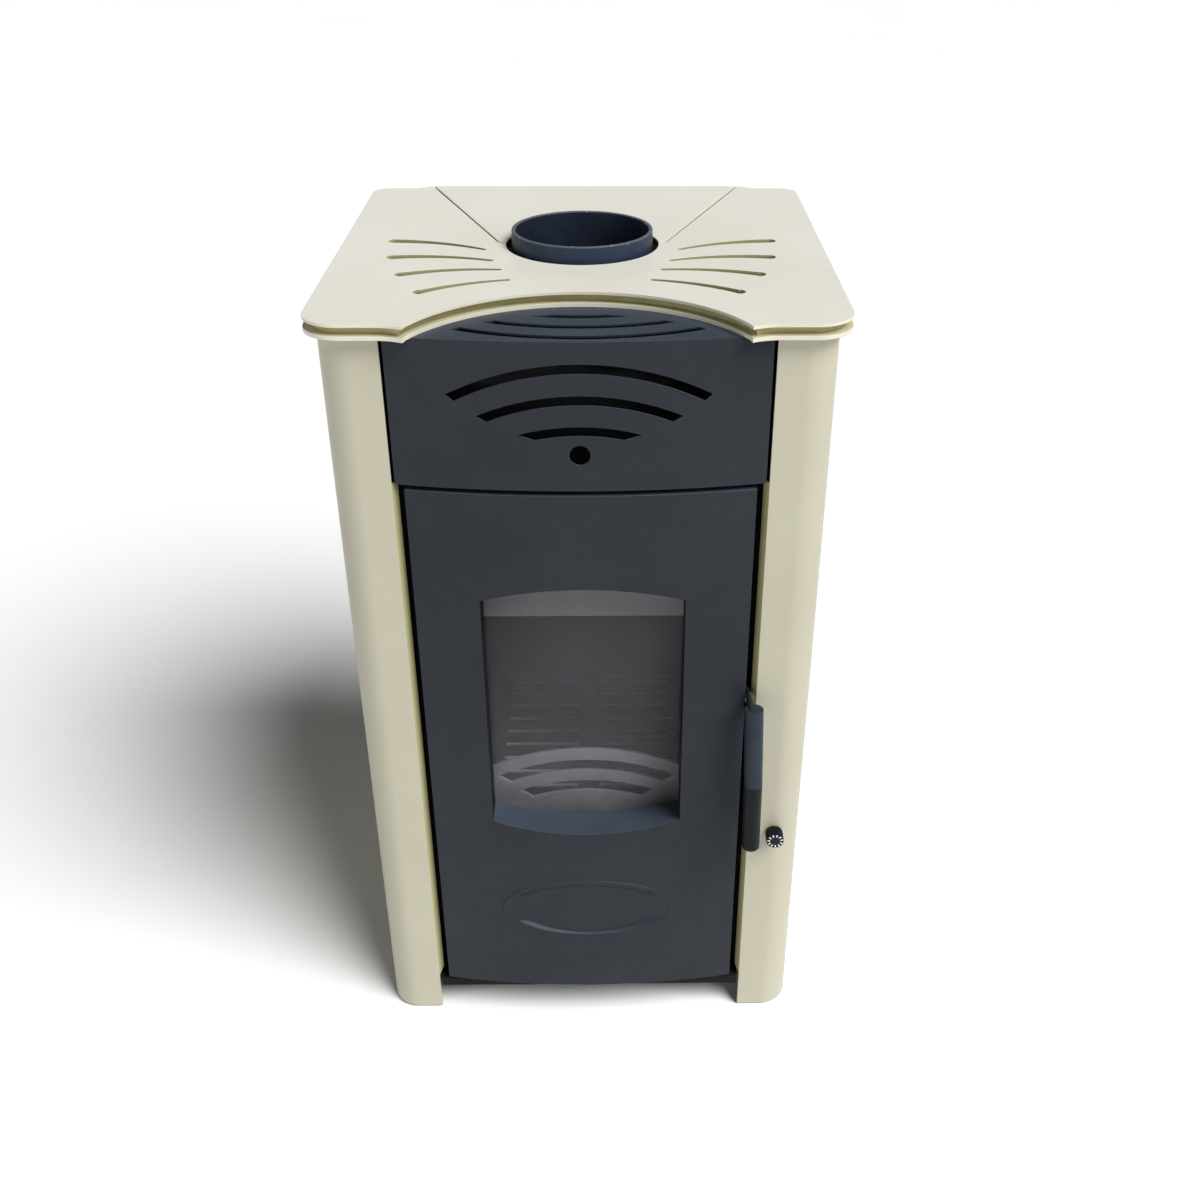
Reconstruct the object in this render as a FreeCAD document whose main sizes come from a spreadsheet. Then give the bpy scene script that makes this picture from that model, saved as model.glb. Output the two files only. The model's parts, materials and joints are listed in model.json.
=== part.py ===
import FreeCAD, Part
import collections
import math
import os
import re
import Sketcher
from FreeCAD import Vector

# Central heating stove: a boiler with a firebox, in a bowed front and two rolled side panels.
# X runs to the right, Y to the back and Z up. Depths are counted from the front tips of the top
# plates, heights from the floor, and every piece is moved back by frame_shift at the end, so that
# the origin lies on the floor under the middle of the object.

DRIVING_SIZES = [
    # Top plates
    ("stove_height", 875, "floor to the top face of the upper plate"),
    ("plate_width", 512, "width of both top plates"),
    ("plate_depth", 525, "front tips to rear edge of the top plates"),
    ("upper_plate_thickness", 3, "upper top plate"),
    ("lower_plate_thickness", 4, "lower top plate"),
    ("plate_gap", 8, "recess between the two top plates"),
    ("front_setback", 7, "front edge of the plates behind their tips"),
    ("plate_front_corner", 38, "radius of the front corners"),
    ("plate_rear_corner", 20, "radius of the rear corners"),
    ("notch_width", 317, "between the two front tips"),
    ("notch_depth", 105.5, "depth of the arched notch behind the tips"),
    ("notch_radius", 174, "radius of the arched notch"),
    ("notch_flank", 2, "width of the straight flank between arch and tip"),
    ("flare_length", 26.5, "length of the flare beside each tip"),
    ("tongue_reach", 12, "how far the middle of the rear edge stands out"),
    ("tongue_ramp", 16, "width of the ramp up to that tongue"),
    ("spacer_inset", 9, "spacer frame behind the plate edge"),
    ("spacer_thickness", 3, "strip of the spacer frame"),
    ("insert_width", 370, "rear insert along its rear edge"),
    ("seam_gap", 2.5, "joint between upper plate and rear insert"),
    ("shoulder_reach", 9.5, "shoulder of the seam beside the flue hole"),
    ("shoulder_rise", 6, "slope of that shoulder"),
    ("seam_support_width", 18, "strips that carry the seam"),
    ("rest_gap", 0.3, "play under a piece that lifts off or turns"),
    ("whisker_outer_width", 13, "slots of the upper plate, outer end"),
    ("whisker_inner_width", 6, "slots of the upper plate, inner end"),
    ("whisker_bow_radius", 193, "bow of these slots"),
    # Flue
    ("flue_diameter", 150, "outside of the flue collar"),
    ("flue_wall", 4, "wall of the flue collar"),
    ("flue_stand", 16, "collar above the upper plate"),
    ("flue_depth", 276.5, "flue axis behind the plate tips"),
    ("flue_hole_diameter", 163, "hole in the top plates"),
    ("flue_flange_width", 22, "flange of the collar on the boiler"),
    ("flue_flange_thickness", 5, "flange of the collar"),
    ("flue_seal_thickness", 2, "seal under that flange"),
    ("flange_bolt_head", 13, "head of a flange bolt"),
    ("flange_bolt_height", 6, "height of that head"),
    ("weld_gap", 0.2, "play of a piece set through a wall"),
    # Casing
    ("body_width", 491, "outside of the side panels"),
    ("casing_setback", 20, "front of the side panels behind the plate tips"),
    ("casing_depth", 485, "front to rear face of the side panels"),
    ("panel_sheet", 1.5, "sheet of side and rear panels"),
    ("panel_corner", 32.5, "rolled front corner of a side panel"),
    ("return_width", 66, "front return of a side panel"),
    ("fold_depth", 10, "inner fold of that return"),
    ("fold_lean", 5, "lean of that fold towards the door"),
    ("fold_bevel", 9, "bevel at the foot of the fold"),
    ("return_gap", 3.4, "front return beside the upper front panel"),
    ("rear_flange", 22, "rear flange of a side panel"),
    ("floor_gap", 2, "side panels above the floor"),
    ("rear_panel_margin", 8, "rear panel inside the side panels"),
    ("rear_panel_low", 70, "lower edge of the rear panel"),
    ("rear_vent_width", 46, "vent slot of the rear panel"),
    ("rear_vent_height", 8, "vent slot of the rear panel"),
    ("rear_vent_pitch", 64, "pitch of the vent slots"),
    ("rear_vent_drop", 46, "vent slots below the upper edge"),
    ("screw_head", 9, "head of a casing screw"),
    ("screw_head_height", 2.5, "height of that head"),
    # Bowed front
    ("bow_radius", 930, "bow of door and upper panel"),
    ("bow_crown", 2, "foremost line of the bow behind the plate tips"),
    ("front_sheet", 2, "sheet of door skin and upper panel"),
    ("front_panel_width", 362, "upper front panel"),
    ("front_panel_height", 147.5, "upper front panel"),
    ("shelf_reach", 135, "rear edge of the panel's top shelf"),
    ("lower_hem", 18, "hem along the lower edge of the panel"),
    ("fan_radius", 264, "outermost arched slot, outer edge"),
    ("fan_pitch", 30.4, "from one arched slot to the next"),
    ("fan_slot_width", 9.3, "width of an arched slot"),
    ("fan_clip_radius", 187, "arc that ends the arched slots"),
    ("fan_clip_offset", 9.4, "from the innermost slot's inner edge to the middle of that arc"),
    ("shelf_clip_radius", 181, "arc that ends the arched slots of the shelf"),
    ("shelf_clip_offset", 3.4, "from the shelf's innermost slot to the middle of that arc"),
    ("fan_margin", 8.5, "the shelf's outermost slot behind the front"),
    ("fan_drop", 285, "the front slots' centre below the shelf"),
    ("sight_hole_diameter", 20, "round hole of the upper panel"),
    ("sight_hole_drop", 110.5, "that hole below the shelf"),
    # Door
    ("door_width", 345, "door skin"),
    ("door_height", 654, "door skin"),
    ("door_gap", 5.5, "between door and upper panel"),
    ("door_tray_rear", 48, "rear edge of the door skin behind the plate tips"),
    ("door_frame_sheet", 2, "inner frame of the door"),
    ("window_width", 210, "window opening"),
    ("window_side", 284, "straight sides of the window"),
    ("window_arch", 15.7, "rise of its upper and lower arch"),
    ("window_sill", 251, "lower window corner above the door's lower edge"),
    ("glass_seat", 43, "glass seat behind the plate tips"),
    ("surround_sheet", 2, "sheet of the window surround"),
    ("surround_flange", 24, "flange of the surround around the window"),
    ("glass_seal_thickness", 1, "tape under the glass"),
    ("glass_thickness", 4, "ceramic glass"),
    ("glass_margin", 12, "glass beyond the window opening"),
    ("clip_sheet", 2, "glass clip"),
    ("clip_height", 22, "glass clip"),
    ("clip_lap", 9, "clip over the glass"),
    ("clip_play", 0.2, "clip above and beside the glass"),
    ("clip_inset", 40, "clips from the window corners"),
    ("clip_screw_head", 6, "head of a clip screw"),
    ("frame_relief", 3, "inner frame around the surround"),
    ("gasket_width", 10, "rope gasket"),
    ("gasket_lap", 8, "gasket beyond the boiler mouth"),
    ("gasket_top", 36, "gasket's middle above the window"),
    ("gasket_corner", 22, "bend of the gasket's middle"),
    ("retainer_sheet", 2, "strips beside the gasket"),
    ("retainer_height", 4, "strips beside the gasket"),
    ("retainer_play", 1, "between gasket and strips"),
    # Hinge
    ("hinge_inset", 12.5, "hinge axis inside the door's left edge"),
    ("hinge_depth", 30, "hinge axis behind the plate tips"),
    ("hinge_pin_diameter", 8, "hinge pin"),
    ("hinge_fit", 0.05, "radial play on a pin"),
    ("hinge_ear_width", 12, "hinge bracket"),
    ("hinge_ear_thickness", 5, "hinge bracket"),
    ("hinge_lug_thickness", 6, "hinge lug in the door"),
    ("hinge_lug_reach", 13, "lug beside the hinge axis"),
    ("hinge_end_low", 47, "lower bracket above the door's lower edge"),
    ("hinge_end_high", 62, "upper bracket below the door's upper edge"),
    ("hinge_pin_stand", 3, "pin above its lug"),
    ("hinge_notch_play", 2, "door notch above and below a bracket"),
    ("hinge_notch_front", 9, "door notch before the hinge axis"),
    # Handle and catch
    ("lever_thickness", 3.5, "handle lever"),
    ("lever_gap", 1.5, "lever beside the door"),
    ("lever_pivot_depth", 26, "lever pivot behind the plate tips"),
    ("lever_pivot_height", 458, "lever pivot above the floor"),
    ("lever_boss", 11, "radius of the lever round its pivot"),
    ("lever_pin_diameter", 8, "lever pivot pin"),
    ("lever_pin_head", 10, "head of the pivot pin"),
    ("lever_pin_head_height", 1.2, "head of the pivot pin"),
    ("lever_pin_tail", 8, "pivot pin inside the door"),
    ("lever_arm_bow", 70, "curve of the arm's upper edge"),
    ("lever_arm_neck", 6, "arm's lower edge below the pivot"),
    ("tang_width", 10, "lever's tang in the grip"),
    ("tang_length", 30, "lever's tang in the grip"),
    ("hook_base", 12, "hook's lower edge below the pivot"),
    ("hook_tooth", 5.5, "tooth behind the catch pin"),
    ("hook_play", 0.5, "tooth behind the catch pin"),
    ("hook_floor", 2, "hook below the catch pin"),
    ("catch_pin_diameter", 8, "catch pin"),
    ("catch_pin_reach", 16, "catch pin behind the lever pivot"),
    ("catch_pin_rise", 1, "catch pin above the lever pivot"),
    ("catch_sheet", 3, "catch bracket"),
    ("catch_play", 1, "bracket beside the lever"),
    ("catch_height", 44, "catch bracket"),
    ("catch_foot", 17, "foot of the catch bracket"),
    ("catch_nose", 7, "bracket round the catch pin"),
    ("grip_diameter", 20, "handle grip"),
    ("grip_top", 466, "upper end of the grip above the floor"),
    ("grip_length", 186, "handle grip"),
    ("grip_kink_drop", 90, "bend of the grip below its upper end"),
    ("grip_top_reach", 9, "upper end of the grip before the plate tips"),
    ("grip_kink_reach", 21, "bend of the grip before the plate tips"),
    ("grip_low_reach", 12, "lower end of the grip before the plate tips"),
    ("grip_offset", 3.75, "grip's upper end to the right of the lever's middle"),
    ("grip_splay", 5, "grip's lower end to the right of its upper end"),
    ("grip_rounding", 4, "rounded lower end of the grip"),
    # Air control
    ("knob_diameter", 19.5, "air knob"),
    ("knob_length", 16.5, "air knob"),
    ("knob_play", 0.6, "knob before the side panel"),
    ("knob_rim", 31.5, "knob axis inside the outer side of the body"),
    ("knob_height", 278, "knob axis above the floor"),
    ("knurl_diameter", 1.6, "groove of the knob's knurl"),
    ("spindle_diameter", 6, "knob spindle"),
    ("spindle_in_knob", 11, "spindle inside the knob"),
    ("spindle_end", 70, "rear end of the spindle behind the plate tips"),
    ("bush_wall", 2, "spindle bush"),
    ("bush_collar", 2, "collar of the bush"),
    ("bush_length", 6, "spindle bush"),
    ("regulator_width", 33, "air regulator housing"),
    ("regulator_front", 60, "its front behind the plate tips"),
    ("regulator_depth", 62, "air regulator housing"),
    ("regulator_height", 60, "air regulator housing"),
    ("regulator_corner", 6, "rounded edges of the housing"),
    ("duct_front", 70, "air duct behind the plate tips"),
    ("duct_depth", 80, "air duct"),
    ("duct_low", 90, "air duct above the floor"),
    ("duct_height", 60, "air duct"),
    ("duct_sheet", 3, "air duct"),
    ("duct_stand", 7, "air duct beside the boiler"),
    ("flap_sheet", 3, "air flap"),
    ("flap_lap", 4, "flap beyond the duct"),
    ("flap_play", 0.5, "flap before the duct's mouth"),
    ("flap_pin_diameter", 5, "flap pin"),
    ("flap_pin_rise", 8, "flap pin above the duct"),
    ("flap_barrel", 5, "radius of the flap's barrel"),
    ("flap_ear", 4, "ears on the duct"),
    # Boiler and fire
    ("base_top", 50, "base plate above the floor"),
    ("base_sheet", 5, "base plate"),
    ("base_lip", 13, "front lip of the base plate"),
    ("base_setback", 19, "front lip behind the plate tips"),
    ("base_side_play", 2.5, "base plate beside the folds"),
    ("foot_diameter", 40, "levelling foot"),
    ("foot_pad", 10, "pad of a levelling foot"),
    ("foot_stem", 12, "stem of a levelling foot"),
    ("foot_inset", 60, "feet from the sides of the base plate"),
    ("boiler_setback", 54, "boiler front behind the plate tips"),
    ("boiler_width", 410, "boiler"),
    ("boiler_depth", 416, "boiler with its front plate"),
    ("boiler_height", 750, "boiler"),
    ("boiler_wall", 4, "boiler plate"),
    ("water_gap", 36, "water between the two shells"),
    ("mouth_width", 260, "fire mouth"),
    ("mouth_low", 76, "lower edge of the mouth above the floor"),
    ("mouth_high", 544, "upper edge of the mouth above the floor"),
    ("grate_height", 235, "upper face of the grate above the floor"),
    ("grate_thickness", 12, "grate"),
    ("grate_play", 3, "grate beside the firebox walls"),
    ("grate_slot_length", 98, "slot of the grate"),
    ("grate_slot_width", 5, "slot of the grate"),
    ("grate_slot_pitch", 29.7, "from slot to slot"),
    ("grate_rib", 24, "rib between the two rows of slots"),
    ("grate_first_slot", 46, "first slot behind the grate's front edge"),
    ("rail_leg", 24, "angle bars under the grate"),
    ("rail_sheet", 4, "angle bars under the grate"),
    ("guard_width", 252, "log guard"),
    ("guard_crown", 127, "crown of the log guard above the grate"),
    ("guard_radius", 259, "arched edge of the log guard"),
    ("guard_thickness", 4, "log guard"),
    ("guard_setback", 8, "log guard behind the boiler front plate"),
    ("guard_slot_drop", 16, "first slot below the crown"),
    ("guard_slot_width", 13.5, "slot of the log guard"),
    ("guard_slot_pitch", 29, "from slot to slot"),
    ("guard_slot_length", 203, "longer slot of the log guard"),
    ("guard_slot_step", 50, "each slot shorter than the one above"),
    ("pan_width", 250, "ash pan"),
    ("pan_depth", 320, "ash pan"),
    ("pan_height", 112, "ash pan"),
    ("pan_sheet", 1.5, "ash pan"),
    ("pan_setback", 22, "ash pan behind the boiler front"),
    ("pan_handle_width", 90, "handle of the ash pan"),
    ("pan_handle_rod", 8, "handle of the ash pan"),
    ("pan_handle_reach", 18, "handle before the pan"),
    ("baffle_thickness", 6, "flue baffle"),
    ("baffle_rear_height", 590, "rear edge of the baffle above the floor"),
    ("baffle_rise", 50, "front edge above the rear edge"),
    ("baffle_depth", 285, "baffle from the rear wall"),
    ("ledge_width", 14, "ledges under the baffle"),
    ("ledge_thickness", 8, "ledges under the baffle"),
    # Water sockets
    ("socket_diameter", 42, "water socket"),
    ("socket_bore", 30.3, "thread core of a water socket"),
    ("socket_end", 545, "socket's end behind the plate tips"),
    ("socket_side", 120, "sockets beside the middle"),
    ("flow_height", 740, "flow socket above the floor"),
    ("return_height", 112, "return socket above the floor"),
    ("socket_hole_play", 3, "rear panel round a socket"),
    ("drain_diameter", 26, "drain socket"),
    ("drain_end", 524, "end of the drain socket behind the plate tips"),
    ("drain_plug_head", 22, "drain plug across its corners"),
    ("drain_plug_height", 8, "drain plug"),
    ("overrun", 1, "how far a cut runs past a face"),
]

# Counts and shares
FAN_SLOTS = 3
GUARD_SLOTS = 2
GRATE_ROWS = 11
KNURL_GROOVES = 24
REAR_VENTS = 5
# Ends of the whisker slots: outer x, outer depth, inner x, inner depth, as shares of half the
# plate's width and of its depth
WHISKER_SHARES = [
    (0.787, 0.546, 0.406, 0.484),
    (0.763, 0.428, 0.365, 0.405),
    (0.700, 0.311, 0.324, 0.342),
    (0.601, 0.200, 0.282, 0.274),
]
TIP_INSET_SHARE = 0.48
REAR_SCREW_SHARES = [0.06, 0.35, 0.65, 0.94]
HEX_CORNERS = 6

# Places that follow from the driving sizes
PLACES = {
    "frame_shift": "(socket_end - grip_kink_reach - grip_diameter / 2) / 2",
    "half_plate": "plate_width / 2",
    "tip": "notch_width / 2",
    "upper_low": "stove_height - upper_plate_thickness",
    "lower_top": "upper_low - plate_gap",
    "casing_top": "lower_top - lower_plate_thickness",
    "arch_centre": "notch_depth - notch_radius",
    "insert_rear": "plate_depth + tongue_reach",
    "hole_radius": "flue_hole_diameter / 2",
    "flue_radius": "flue_diameter / 2",
    "seam_shoulder": "hole_radius + shoulder_reach",
    "half_body": "body_width / 2",
    "return_edge": "half_body - return_width",
    "casing_rear": "casing_setback + casing_depth",
    "fold_rear": "casing_setback + fold_depth",
    "fold_inner": "return_edge + panel_sheet * sqrt(fold_lean ^ 2 + fold_depth ^ 2) / fold_depth",
    "bow_centre": "bow_crown + bow_radius",
    "half_front": "front_panel_width / 2",
    "front_panel_low": "casing_top - front_panel_height",
    "shelf_low": "casing_top - front_sheet",
    "half_door": "door_width / 2",
    "door_high": "front_panel_low - door_gap",
    "door_low": "door_high - door_height",
    "door_inner": "half_door - front_sheet",
    "frame_front": "door_tray_rear - door_frame_sheet",
    "half_window": "window_width / 2",
    "window_low": "door_low + window_sill",
    "window_high": "window_low + window_side",
    "window_radius": "(half_window ^ 2 + window_arch ^ 2) / (2 * window_arch)",
    "arch_top_centre": "window_high + window_arch - window_radius",
    "arch_low_centre": "window_low - window_arch + window_radius",
    "seal_rear": "glass_seat + glass_seal_thickness",
    "glass_rear": "seal_rear + glass_thickness",
    "glass_edge": "half_window + glass_margin",
    "flange_edge": "half_window + surround_flange",
    "frame_edge": "flange_edge + frame_relief",
    "gasket_side": "mouth_width / 2 + gasket_lap + gasket_width / 2",
    "gasket_low": "mouth_low - gasket_lap - gasket_width / 2 + gasket_drop",
    "gasket_drop": "retainer_play + retainer_sheet",
    "gasket_high": "window_high + window_arch + gasket_top",
    "hinge_x": "hinge_inset - half_door",
    "hinge_pin_radius": "hinge_pin_diameter / 2",
    "ear_low_bottom": "door_low + hinge_end_low",
    "ear_high_bottom": "door_high - hinge_end_high",
    "lever_left": "half_door + lever_gap",
    "lever_right": "lever_left + lever_thickness",
    "catch_pin_depth": "lever_pivot_depth + catch_pin_reach",
    "catch_pin_height": "lever_pivot_height + catch_pin_rise",
    "catch_pin_radius": "catch_pin_diameter / 2",
    "tooth_front": "catch_pin_depth + catch_pin_radius + hook_play",
    "tooth_rear": "tooth_front + hook_tooth",
    "tooth_top": "catch_pin_height + catch_pin_radius",
    "hook_bed": "catch_pin_height - catch_pin_radius - hook_floor",
    "catch_left": "lever_right + catch_play",
    "catch_right": "catch_left + catch_sheet",
    "grip_x": "(lever_left + lever_right) / 2 + grip_offset",
    "grip_low": "grip_top - grip_length",
    "tang_front": "-grip_top_reach - tang_width / 2",
    "tang_rear": "-grip_top_reach + tang_width / 2",
    "knob_x": "half_body - knob_rim",
    "knob_rear": "casing_setback - knob_play - bush_collar",
    "spindle_radius": "spindle_diameter / 2",
    "bush_bore": "spindle_radius + hinge_fit",
    "bush_radius": "bush_bore + bush_wall",
    "half_boiler": "boiler_width / 2",
    "boiler_top": "base_top + boiler_height",
    "boiler_rear": "boiler_setback + boiler_depth",
    "shell_front": "boiler_setback + boiler_wall",
    "half_inner": "half_boiler - boiler_wall - water_gap",
    "half_fire": "half_inner - boiler_wall",
    "fire_top": "inner_top - boiler_wall",
    "inner_top": "boiler_top - boiler_wall - water_gap",
    "inner_rear": "boiler_rear - boiler_wall - water_gap",
    "fire_rear": "inner_rear - boiler_wall",
    "fire_floor": "base_top + boiler_wall",
    "base_low": "base_top - base_sheet",
    "base_side": "half_body - panel_sheet - rest_gap",
    "base_rear": "casing_rear - panel_sheet",
    "duct_rear": "duct_front + duct_depth",
    "duct_high": "duct_low + duct_height",
    "duct_mouth": "half_boiler + duct_stand",
    "flap_left": "duct_mouth + flap_play",
    "flap_right": "flap_left + flap_sheet",
    "flap_pin_x": "(flap_left + flap_right) / 2",
    "flap_pin_height": "duct_high + flap_pin_rise",
    "flap_bore": "flap_pin_diameter / 2 + hinge_fit",
    "grate_low": "grate_height - grate_thickness",
    "half_grate": "half_fire - grate_play",
    "guard_front": "shell_front + guard_setback",
    "guard_top": "grate_height + guard_crown",
    "guard_centre": "guard_top - guard_radius",
    "pan_front": "boiler_setback + pan_setback",
    "pan_low": "fire_floor",
    "half_pan": "pan_width / 2",
    "flange_low": "boiler_top + flue_seal_thickness",
    "flange_high": "flange_low + flue_flange_thickness",
    "flange_radius": "flue_radius + flue_flange_width",
    "flange_bolt_place": "(flue_radius + flange_radius) / 2 / sqrt(2)",
    "rear_panel_rear": "casing_rear + panel_sheet",
    "half_rear_panel": "half_body - rear_panel_margin",
}

LEFT = 1
RIGHT = -1
Circle = collections.namedtuple("Circle", "x y radius")

doc = FreeCAD.newDocument("central_heating_stove")
sheet = doc.addObject("Spreadsheet::Sheet", "sizes")
for row, (alias, value, meaning) in enumerate(DRIVING_SIZES, start=1):
    sheet.set(f"A{row}", meaning)
    sheet.set(f"B{row}", str(value))
    sheet.setAlias(f"B{row}", alias)
doc.recompute()
SIZES = {alias for alias, value, meaning in DRIVING_SIZES}
bodies = []


# Expressions

def spelled_out(text, owner):
    """Write an expression out in the sheet's own cells."""
    def word(match):
        name = match.group()
        if name in PLACES:
            return "(" + spelled_out(PLACES[name], owner) + ")"
        return owner + name if name in SIZES else name
    return re.sub(r"[a-z_][a-z_0-9]*", word, text)


def bound(text):
    return spelled_out(text, "sizes.")


def number(text):
    return float(sheet.evalExpression(spelled_out(text, "")))


def minus(text):
    return "0" if text == "0" else f"-({text})"


# Outlines: lists of corners (x, y), and (x, y, turn, radius) where an arc leads to the next corner

def rectangle(left, right, low, high):
    return [(left, low), (right, low), (right, high), (left, high)]


def rounded_rectangle(left, right, low, high, radius):
    return [
        (f"{left} + {radius}", low),
        (f"{right} - {radius}", low, LEFT, radius),
        (right, f"{low} + {radius}"),
        (right, f"{high} - {radius}", LEFT, radius),
        (f"{right} - {radius}", high),
        (f"{left} + {radius}", high, LEFT, radius),
        (left, f"{high} - {radius}"),
        (left, f"{low} + {radius}", LEFT, radius),
    ]


def mirrored(half):
    """Close a half outline, which starts and ends on the middle line, with its mirror image."""
    last = len(half) - 1
    back = [(minus(half[k][0]), half[k][1]) + half[k - 1][2:] for k in range(last - 1, 0, -1)]
    turning_point = half[last][:2] + half[last - 1][2:]
    return half[:last] + [turning_point] + back


def flipped(outline):
    """The same outline on the other side of the middle line."""
    if isinstance(outline, Circle):
        return Circle(minus(outline.x), outline.y, outline.radius)
    return [(minus(v[0]), v[1]) + ((-v[2], v[3]) if len(v) > 2 else ()) for v in outline]


def bow(radius, across):
    """Depth of a bowed sheet at a place beside the middle."""
    return f"bow_centre - sqrt(({radius}) ^ 2 - ({across}) ^ 2)"


def arched_slot(outer, inner, clip, clip_offset, place, side):
    """A slot between two arcs round one centre, ended by a third arc whose centre lies further out.

    The centre's place and the side (1 or -1) on which the slots lie are along the second axis.
    """
    def end(radius):
        along = f"((({radius}) ^ 2 - ({clip}) ^ 2 + ({clip_offset}) ^ 2) / (2 * ({clip_offset})))"
        return f"sqrt(({radius}) ^ 2 - {along} ^ 2)", f"{place} + ({side}) * {along}"
    outer_x, outer_y = end(outer)
    inner_x, inner_y = end(inner)
    turn = RIGHT if side > 0 else LEFT
    return [
        (minus(outer_x), outer_y, turn, outer),
        (outer_x, outer_y, -turn, clip),
        (inner_x, inner_y, -turn, inner),
        (minus(inner_x), inner_y, -turn, clip),
    ]


def slot_fan(place, side, clip, offset):
    """Arched slots round one centre; the arc that ends them all goes by the innermost one."""
    innermost = f"fan_radius - {FAN_SLOTS - 1} * fan_pitch - fan_slot_width"
    clip_centre = f"({innermost} - {offset} + {clip})"
    slots = []
    for k in range(FAN_SLOTS):
        outer = f"(fan_radius - {k} * fan_pitch)"
        inner = f"({outer} - fan_slot_width)"
        slots.append(arched_slot(outer, inner, clip, clip_centre, place, side))
    return slots


# Features

def new_body(label):
    body = doc.addObject("PartDesign::Body", label)
    body.Label = label
    body.setExpression("Placement.Base.y", bound("-frame_shift"))
    bodies.append(body)
    return body


def arc_between(start, end, radius, turn):
    chord = end - start
    rise = math.sqrt(max(radius ** 2 - chord.Length ** 2 / 4, 0))
    side = Vector(-chord.y, chord.x, 0).normalize()
    centre = (start + end) / 2 + side * (turn * rise)
    angles = [math.atan2(p.y - centre.y, p.x - centre.x) for p in (start, end)]
    if turn == RIGHT:
        angles.reverse()
    return Part.ArcOfCircle(Part.Circle(centre, Vector(0, 0, 1), radius), *angles)


class Drawing:
    """Curves and driving constraints of one sketch, collected before they are solved together."""

    def __init__(self):
        self.curves = []
        self.constraints = []
        self.expressions = {}

    def add(self, curve):
        self.curves.append(curve)
        return len(self.curves) - 1

    def fix(self, kind, text, *points):
        """A driving constraint, bound to its expression."""
        self.expressions[len(self.constraints)] = bound(text)
        self.constraints.append(Sketcher.Constraint(kind, *points, number(text)))

    def circle(self, circle):
        centre = Vector(number(circle.x), number(circle.y), 0)
        item = self.add(Part.Circle(centre, Vector(0, 0, 1), number(circle.radius)))
        self.fix("DistanceX", circle.x, -1, 1, item, 3)
        self.fix("DistanceY", circle.y, -1, 1, item, 3)
        self.fix("Radius", circle.radius, item)

    def outline(self, outline):
        places = [Vector(number(v[0]), number(v[1]), 0) for v in outline]
        following = places[1:] + places[:1]
        pieces = []
        for vertex, start, end in zip(outline, places, following):
            if len(vertex) > 2:
                curve = arc_between(start, end, number(vertex[3]), vertex[2])
            else:
                curve = Part.LineSegment(start, end)
            pieces.append(self.add(curve))
        # An arc that turns to the right is stored the other way round
        starts = [2 if len(v) > 2 and v[2] == RIGHT else 1 for v in outline]
        for k, item in enumerate(pieces):
            after = (k + 1) % len(pieces)
            join = Sketcher.Constraint("Coincident", item, 3 - starts[k], pieces[after], starts[after])
            self.constraints.append(join)
        for k, vertex in enumerate(outline):
            self.fix("DistanceX", vertex[0], -1, 1, pieces[k], starts[k])
            self.fix("DistanceY", vertex[1], -1, 1, pieces[k], starts[k])
            if len(vertex) > 2:
                self.fix("Radius", vertex[3], pieces[k])

    def put_into(self, sketch):
        sketch.addGeometry(self.curves, False)
        sketch.addConstraint(self.constraints)
        for index, text in self.expressions.items():
            sketch.setExpression(f"Constraints[{index}]", text)


def draw(body, plane, level, outlines):
    """A sketch on one of the body's own planes, at a level along X, Y or Z."""
    sketch = body.newObject("Sketcher::SketchObject", f"{body.Name}_sketch")
    support = [f for f in body.Origin.OriginFeatures if f.Role == f"{plane}_Plane"][0]
    sketch.AttachmentSupport = [(support, "")]
    sketch.MapMode = "FlatFace"
    offset = minus(level) if plane == "XZ" else level
    sketch.setExpression("AttachmentOffset.Base.z", bound(offset))
    drawing = Drawing()
    for outline in outlines:
        if isinstance(outline, Circle):
            drawing.circle(outline)
        else:
            drawing.outline(outline)
    drawing.put_into(sketch)
    return sketch


def prism(body, plane, outlines, low, high):
    """Material between two levels. The XZ plane faces forward, so there it starts at the rear."""
    start = high if plane == "XZ" else low
    pad = body.newObject("PartDesign::Pad", f"{body.Name}_pad")
    pad.Profile = draw(body, plane, start, outlines)
    pad.setExpression("Length", bound(f"({high}) - ({low})"))
    return pad


def opening(body, plane, outlines, low, high):
    """A cut between two levels."""
    start = low if plane == "XZ" else high
    pocket = body.newObject("PartDesign::Pocket", f"{body.Name}_pocket")
    pocket.Profile = draw(body, plane, start, outlines)
    pocket.setExpression("Length", bound(f"({high}) - ({low})"))
    return pocket


# Top plates

def plate_front(inset):
    """Right half of a plate's outline from the crown of the notch to its rear corner."""
    grown = f"(notch_radius + {inset})"
    arc_drop = f"(sqrt(notch_radius ^ 2 - (tip - notch_flank) ^ 2) + {inset})"
    arc_end = f"sqrt({grown} ^ 2 - {arc_drop} ^ 2)"
    flare = "(flare_length ^ 2 + front_setback ^ 2) / (2 * front_setback)"
    tip_x = f"tip + {TIP_INSET_SHARE} * {inset}"
    corner = f"(plate_front_corner - {inset})"
    rear_corner = f"(plate_rear_corner - {inset})"
    side = f"(half_plate - {inset})"
    return [
        ("0", f"notch_depth + {inset}", RIGHT, grown),
        (arc_end, f"arch_centre + {arc_drop}"),
        (tip_x, f"{inset}", RIGHT, flare),
        (f"{tip_x} + flare_length", f"front_setback + {inset}"),
        (f"{side} - {corner}", f"front_setback + {inset}", LEFT, corner),
        (side, f"front_setback + {inset} + {corner}"),
        (side, f"plate_depth - {inset} - {rear_corner}", LEFT, rear_corner),
        (f"{side} - {rear_corner}", f"plate_depth - {inset}"),
    ]


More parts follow.
